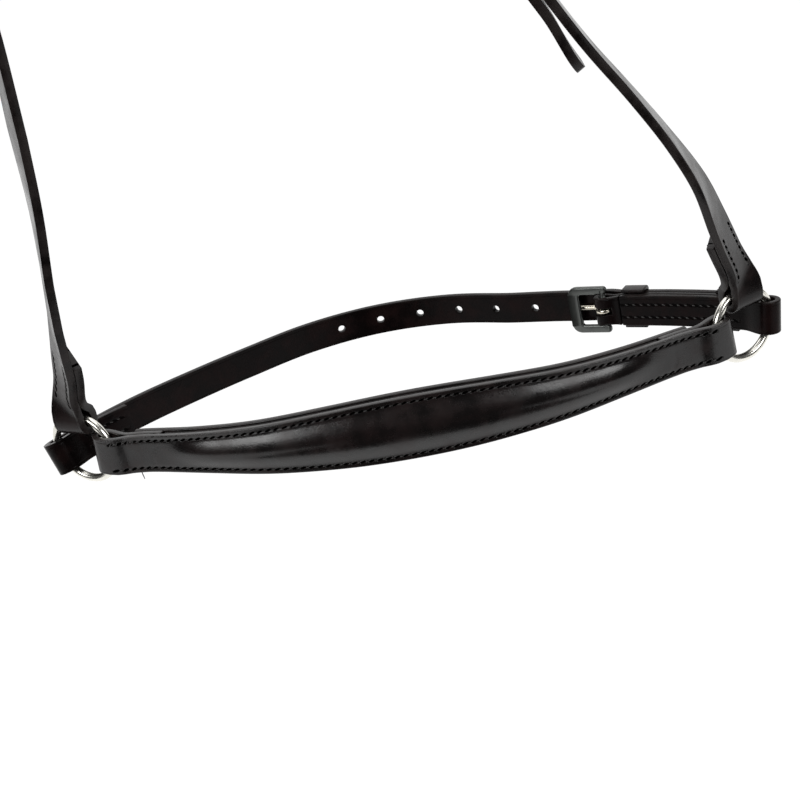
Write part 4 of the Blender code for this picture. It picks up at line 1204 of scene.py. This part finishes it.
def billet_strip(strap, holes):
    """A strap folded round the off ring and running on, through its holes, to its tip."""
    at_ring = eye_profile(0.0, 1, strap.eye, strap.leathers[0], RING_FOLD_CLOSE, strap.turn)
    middle, indices = punched(RING_FOLD_CLOSE, strap.tip - CHIN_TIP_POINT, strap.offset_at,
                              holes)
    places = [strap.tip - CHIN_TIP_POINT * (1 - k / TIP_STEPS) ** 2
              for k in range(TIP_STEPS + 1)]
    end = [(along, strap.offset_at(along)) for along in places]
    mesh = lay_strip(strap.route, [*reversed(at_ring), *middle, *end],
                     billet_width(strap.tip, strap.point), strap_ribs)
    punch(mesh, strap.route, strap.offset_at, [len(at_ring) + i for i in indices], holes)
    return mesh


def chape_strip(strap):
    """A strap folded round the near ring at one end and round a buckle's bar at the other."""
    route, bar, size = strap.route, strap.bar, strap.leathers[1]
    ring_turn, bar_turn = strap.chape_turns
    at_ring = eye_profile(route.length, -1, strap.eye, size, RING_FOLD_CLOSE, ring_turn)
    at_bar = eye_profile(bar, 1, (BAR_EYE, 0.0), size, CHAPE_CLOSE, bar_turn)
    middle = stretch(bar + CHAPE_CLOSE, route.length - RING_FOLD_CLOSE,
                     lambda _: ply_offset(size))
    profile = [*reversed(at_bar), *middle, *at_ring]
    mesh = lay_strip(route, profile, chape_width(bar), strap_ribs)
    reach = bar + BAR_EYE + 2 * TONGUE_WIRE_RADIUS + 3 * CLEARANCE
    slot = [i for i, (along, _) in enumerate(profile) if along < reach]
    open_block(mesh, middle_block(mesh, slot[0], slot[-1]))
    return mesh


def both_leathers(strap, settings, inset, names, shines, marks=1.0):
    """Make a strap's billet and chape. Each name is that of the leather and of its CAD node."""
    sizes = settings.sizes
    meshes = (billet_strip(strap, buckle_holes(strap, sizes.hole_radius)), chape_strip(strap))
    for (name, node_name), mesh, size, rows, shine in zip(names, meshes, strap.leathers,
                                                          strap.rows, shines):
        rows = [(start, stop, inset) for start, stop in rows]
        material = leather(name, settings, rows, shine=shine, marks=marks)
        leather_piece(name, node_name, mesh, material, size, sizes.edge_round)


class NOSEBAND_OT_chin_strap(bpy.types.Operator):
    """Make the chin strap's billet and its doubled half"""
    bl_idname = "noseband.chin_strap"
    bl_label = "Chin Strap"

    def execute(self, context):
        settings = context.scene.noseband
        names = (("chin_billet_leather", "chin_billet_strap"),
                 ("chin_buckle_leather", "chin_buckle_strap"))
        both_leathers(chin_strap(), settings, settings.sizes.chin_inset, names,
                      (CHIN_SHINE, CHIN_SHINE), CHIN_MARKS)
        return {"FINISHED"}


class NOSEBAND_OT_headpiece(bpy.types.Operator):
    """Make the headpiece and the near cheek strap"""
    bl_idname = "noseband.headpiece"
    bl_label = "Headpiece"

    def execute(self, context):
        settings = context.scene.noseband
        names = (("headpiece_leather", "headpiece_strap"),
                 ("near_cheek_leather", "near_cheek_strap"))
        both_leathers(cheek_strap(), settings, settings.sizes.cheek_inset, names,
                      (HEADPIECE_SHINE, NEAR_CHEEK_SHINE))
        return {"FINISHED"}


class NOSEBAND_OT_buckles(bpy.types.Operator):
    """Make both buckles' frames and tongues"""
    bl_idname = "noseband.buckles"
    bl_label = "Buckles"

    def execute(self, context):
        finish = context.scene.noseband.finish
        frame_metal = metal("dark_nickel", finish.dark_nickel, *FRAME_METAL)
        tongue_metal = metal("tongue_metal", finish.tongue, *TONGUE_METAL)
        for name, strap in (("chin", chin_strap()), ("cheek", cheek_strap())):
            matrix = strap.route.matrix(strap.bar)
            piece(f"{name}_buckle_frame_metal", buckle_plate(matrix), frame_metal,
                  f"{name}_buckle", [f"{name}_buckle_frame"])
            piece(f"{name}_buckle_tongue_wire", tongue_wire(matrix, strap.side), tongue_metal,
                  f"{name}_tongue", [f"{name}_buckle_tongue"])
        return {"FINISHED"}


class NOSEBAND_OT_keepers(bpy.types.Operator):
    """Make the sewn keepers and the runner"""
    bl_idname = "noseband.keepers"
    bl_label = "Keepers"

    def execute(self, context):
        material = leather("keeper_leather", context.scene.noseband, shine=KEEPER_SHINE)
        chin, cheek = chin_strap(), cheek_strap()
        single = ply_offset(CHEEK_LEATHER) + CHEEK_LEATHER / 2
        for name, strap, past, length, loop, body in (
                ("chin_front_keeper", chin, FRONT_KEEPER_PAST_BAR, FRONT_KEEPER_LENGTH, None,
                 "noseband"),
                ("chin_rear_keeper", chin, CHIN_REAR_KEEPER_PAST_BAR, REAR_KEEPER_LENGTH, None,
                 "noseband"),
                ("cheek_fixed_keeper", cheek, FRONT_KEEPER_PAST_BAR, FRONT_KEEPER_LENGTH, None,
                 "noseband"),
                ("cheek_runner", cheek, CHEEK_RUNNER_PAST_BAR, REAR_KEEPER_LENGTH,
                 (-single, single + CLEARANCE), "cheek_runner")):
            over_plies = billet_levels(*strap.leathers, strap.side)[-1][1] * strap.side
            low, high = loop or (0.0, over_plies + strap.leathers[0] / 2)
            place = strap.route.matrix(strap.bar + past + length / 2)
            mesh = keeper_band(place, length, low, high, strap.side)
            leather_piece(f"{name}_leather", name, mesh, material, KEEPER_WALL, KEEPER_ROUND,
                          body)
        return {"FINISHED"}


class NOSEBAND_OT_stitching(bpy.types.Operator):
    """Sew the rows of stitches"""
    bl_idname = "noseband.stitching"
    bl_label = "Stitching"

    def execute(self, context):
        sizes, finish = context.scene.noseband.sizes, context.scene.noseband.finish
        material = thread("waxed_thread", finish)
        self.nose(sizes, material)
        self.strap("chin_stitches", chin_strap(), sizes.chin_inset, sizes, material)
        self.strap("cheek_stitches", cheek_strap(), sizes.cheek_inset, sizes, material)
        return {"FINISHED"}

    def nose(self, sizes, material):
        """The nosepiece's rows on face and backing, its hand stitches and the loose end."""
        route = nose_route()
        width_at = nose_width(route)
        ply = ply_offset(NOSE_LEATHER)
        front = ply + NOSE_LEATHER / 2 - STITCH_SINK + sizes.thread_radius * THREAD_PROUD_SHARE
        rear = -3 * ply - NOSE_LEATHER / 2
        flare = (RING_EYE + NOSE_LEATHER / 2 - ply) * FOLD_NECK_FLARE

        def front_at(along):
            past = min(along, route.length - along)
            return front + flare * ease(1 - past / RING_FOLD_CLOSE)

        def half_at(along):
            return width_at(along) / 2

        mesh = bmesh.new()
        for end, face_at in ((NOSE_ROW_END, front_at), (BACKING_ROW_END, lambda _: rear)):
            sew_rows(mesh, route, end, route.length - end, face_at, half_at, sizes.nose_inset,
                     sizes)
        pitch = sizes.stitch_pitch
        places = [pitch * (HAND_START_SHARE + k * HAND_PITCH_SHARE) for k in range(HAND_STITCHES)]
        sew(mesh, route, places, front_at, lambda along: half_at(along) - sizes.nose_inset,
            HAND_SLANT, pitch * HAND_REACH_SHARE, sizes.thread_radius * HAND_THICKER)
        sew(mesh, route, [LOOSE_END], lambda _: front,
            lambda along: -half_at(along) - LOOSE_END_OUT, LOOSE_END_SLANT, LOOSE_END_REACH,
            LOOSE_END_RADIUS)
        piece("nosepiece_stitches", mesh, material, "noseband")

    def strap(self, name, strap, inset, sizes, material):
        """The rows on both faces of a strap's folded plies."""
        mesh = bmesh.new()
        for rows, size in zip(strap.rows, strap.leathers):
            face = ply_offset(size) + size / 2
            for start, stop in rows:
                for level in (face, -face):
                    sew_rows(mesh, strap.route, start, stop, lambda _: level,
                             lambda _: STRAP_WIDTH / 2, inset, sizes)
        piece(name, mesh, material, "noseband")


class NOSEBAND_OT_stage(bpy.types.Operator):
    """Set the floor, the lights and the camera"""
    bl_idname = "noseband.stage"
    bl_label = "Stage"

    def execute(self, context):
        self.floor()
        self.world(context.scene)
        for name, place, size, power in SOFTBOXES:
            self.lamp(name, Vector(place), size, power)
        self.camera(context.scene)
        return {"FINISHED"}

    @staticmethod
    def seen_and_mirrored(tree):
        """Whether the camera sees a surface, and whether it is seen in a reflection."""
        return (node(tree, "LightPath", output=k) for k in (0, 3))

    def floor(self):
        """A pale sweep: a floor well below the hanging noseband that curves up behind it and
        reaches forward at both sides."""
        mesh = bmesh.new()
        curve = arc((FLOOR_BACK, FLOOR_LEVEL + SWEEP_RADIUS), SWEEP_RADIUS, -math.pi / 2, 0.0,
                    SWEEP_STEPS)
        line = [(FLOOR_FRONT, FLOOR_LEVEL), (FLOOR_BACK, FLOOR_LEVEL), *curve[1:],
                (FLOOR_BACK + SWEEP_RADIUS, WALL_TOP)]
        for vert, i, _ in grid(mesh, len(line) - 1, 1):
            vert.co = (vert.co.y * FLOOR_HALF_WIDTH, *line[i])
        for side in (-1, 1):
            wing = bmesh.ops.create_grid(mesh, x_segments=1, y_segments=1,
                                         size=WING_SIZE / 2)["verts"]
            bmesh.ops.translate(mesh, verts=wing,
                                vec=(WING_MIDDLE + side * WING_OUT, WING_FRONT, FLOOR_LEVEL))
        bmesh.ops.recalc_face_normals(mesh, faces=mesh.faces)
        paint, tree = new_material("floor_paint")
        seen, mirrored = self.seen_and_mirrored(tree)
        plain = principled(tree, FLOOR_GREY, FLOOR_ROUGH)
        glow = node(tree, "Emission", {"Strength": FLOOR_GLOW})
        share = seen.math("MAXIMUM", seen, mirrored) * FLOOR_GLOW_SHARE
        surface(tree, node(tree, "MixShader", {0: share, 1: plain, 2: glow}))
        smooth_object("floor", mesh, paint)

    def world(self, scene):
        """The room round the sweep: white to look at, dim behind the camera."""
        world = bpy.data.worlds.new("studio")
        scene.world = world
        world.use_nodes = True
        tree = world.node_tree
        tree.nodes.clear()
        seen, mirrored = self.seen_and_mirrored(tree)
        strength = ROOM_LIGHT + seen * ROOM_SEEN - mirrored * ROOM_MIRRORED
        surface(tree, node(tree, "Background", {"Strength": strength}), "World")

    @staticmethod
    def lamp(name, place, size, power):
        """A soft light of a width and height, aimed at the noseband."""
        data = bpy.data.lights.new(name, "AREA")
        data.shape, data.energy = "RECTANGLE", power
        data.size, data.size_y = size
        lamp = put(name, data)
        lamp.location = MIDDLE + place
        lamp.rotation_euler = (-place).to_track_quat("-Z", "Y").to_euler()

    @staticmethod
    def camera(scene):
        """The camera at the photograph's angle, a little above and rolled to one side."""
        level = Vector((math.cos(CAMERA_AZIMUTH), math.sin(CAMERA_AZIMUTH), 0.0))
        toward = level.cross(UP) * math.cos(CAMERA_ELEVATION) + UP * math.sin(CAMERA_ELEVATION)
        upright = toward.cross(level)
        right = level * math.cos(CAMERA_ROLL) + upright * math.sin(CAMERA_ROLL)
        above = upright * math.cos(CAMERA_ROLL) - level * math.sin(CAMERA_ROLL)
        data = bpy.data.cameras.new("camera")
        data.lens, data.sensor_width = CAMERA_LENS, CAMERA_SENSOR
        made = put("camera", data)
        made.matrix_world = axes(MIDDLE + CAMERA_AIM + toward * CAMERA_DISTANCE, right, above,
                                 toward)
        scene.camera = made
        scene.view_settings.view_transform = "Standard"


class NOSEBAND_PT_panel(bpy.types.Panel):
    """The noseband's pieces and settings"""
    bl_idname = "NOSEBAND_PT_panel"
    bl_label = "Drop Noseband"
    bl_space_type = "VIEW_3D"
    bl_region_type = "UI"
    bl_category = "Noseband"

    def draw(self, context):
        settings = context.scene.noseband
        for operator in OPERATORS:
            self.layout.operator(operator.bl_idname)
        for group in (settings.sizes, settings.finish):
            box = self.layout.box()
            for name in group.__annotations__:
                box.prop(group, name)


OPERATORS = (NOSEBAND_OT_rings, NOSEBAND_OT_nosepiece, NOSEBAND_OT_chin_strap,
             NOSEBAND_OT_headpiece, NOSEBAND_OT_buckles, NOSEBAND_OT_keepers,
             NOSEBAND_OT_stitching, NOSEBAND_OT_stage)
CLASSES = (NosebandSizes, NosebandFinish, NosebandSettings, *OPERATORS, NOSEBAND_PT_panel)


def register():
    """Register the classes and the scene's settings."""
    for kind in CLASSES:
        bpy.utils.register_class(kind)
    bpy.types.Scene.noseband = PointerProperty(type=NosebandSettings, name="Noseband",
                                               description="Settings of the noseband")


def unregister():
    """Take the classes and settings away again."""
    del bpy.types.Scene.noseband
    for kind in reversed(CLASSES):
        bpy.utils.unregister_class(kind)


def main():
    """Make every piece and the stage."""
    register()
    bpy.ops.noseband.rings()
    bpy.ops.noseband.nosepiece()
    bpy.ops.noseband.chin_strap()
    bpy.ops.noseband.headpiece()
    bpy.ops.noseband.buckles()
    bpy.ops.noseband.keepers()
    bpy.ops.noseband.stitching()
    bpy.ops.noseband.stage()


if __name__ == "__main__":
    main()
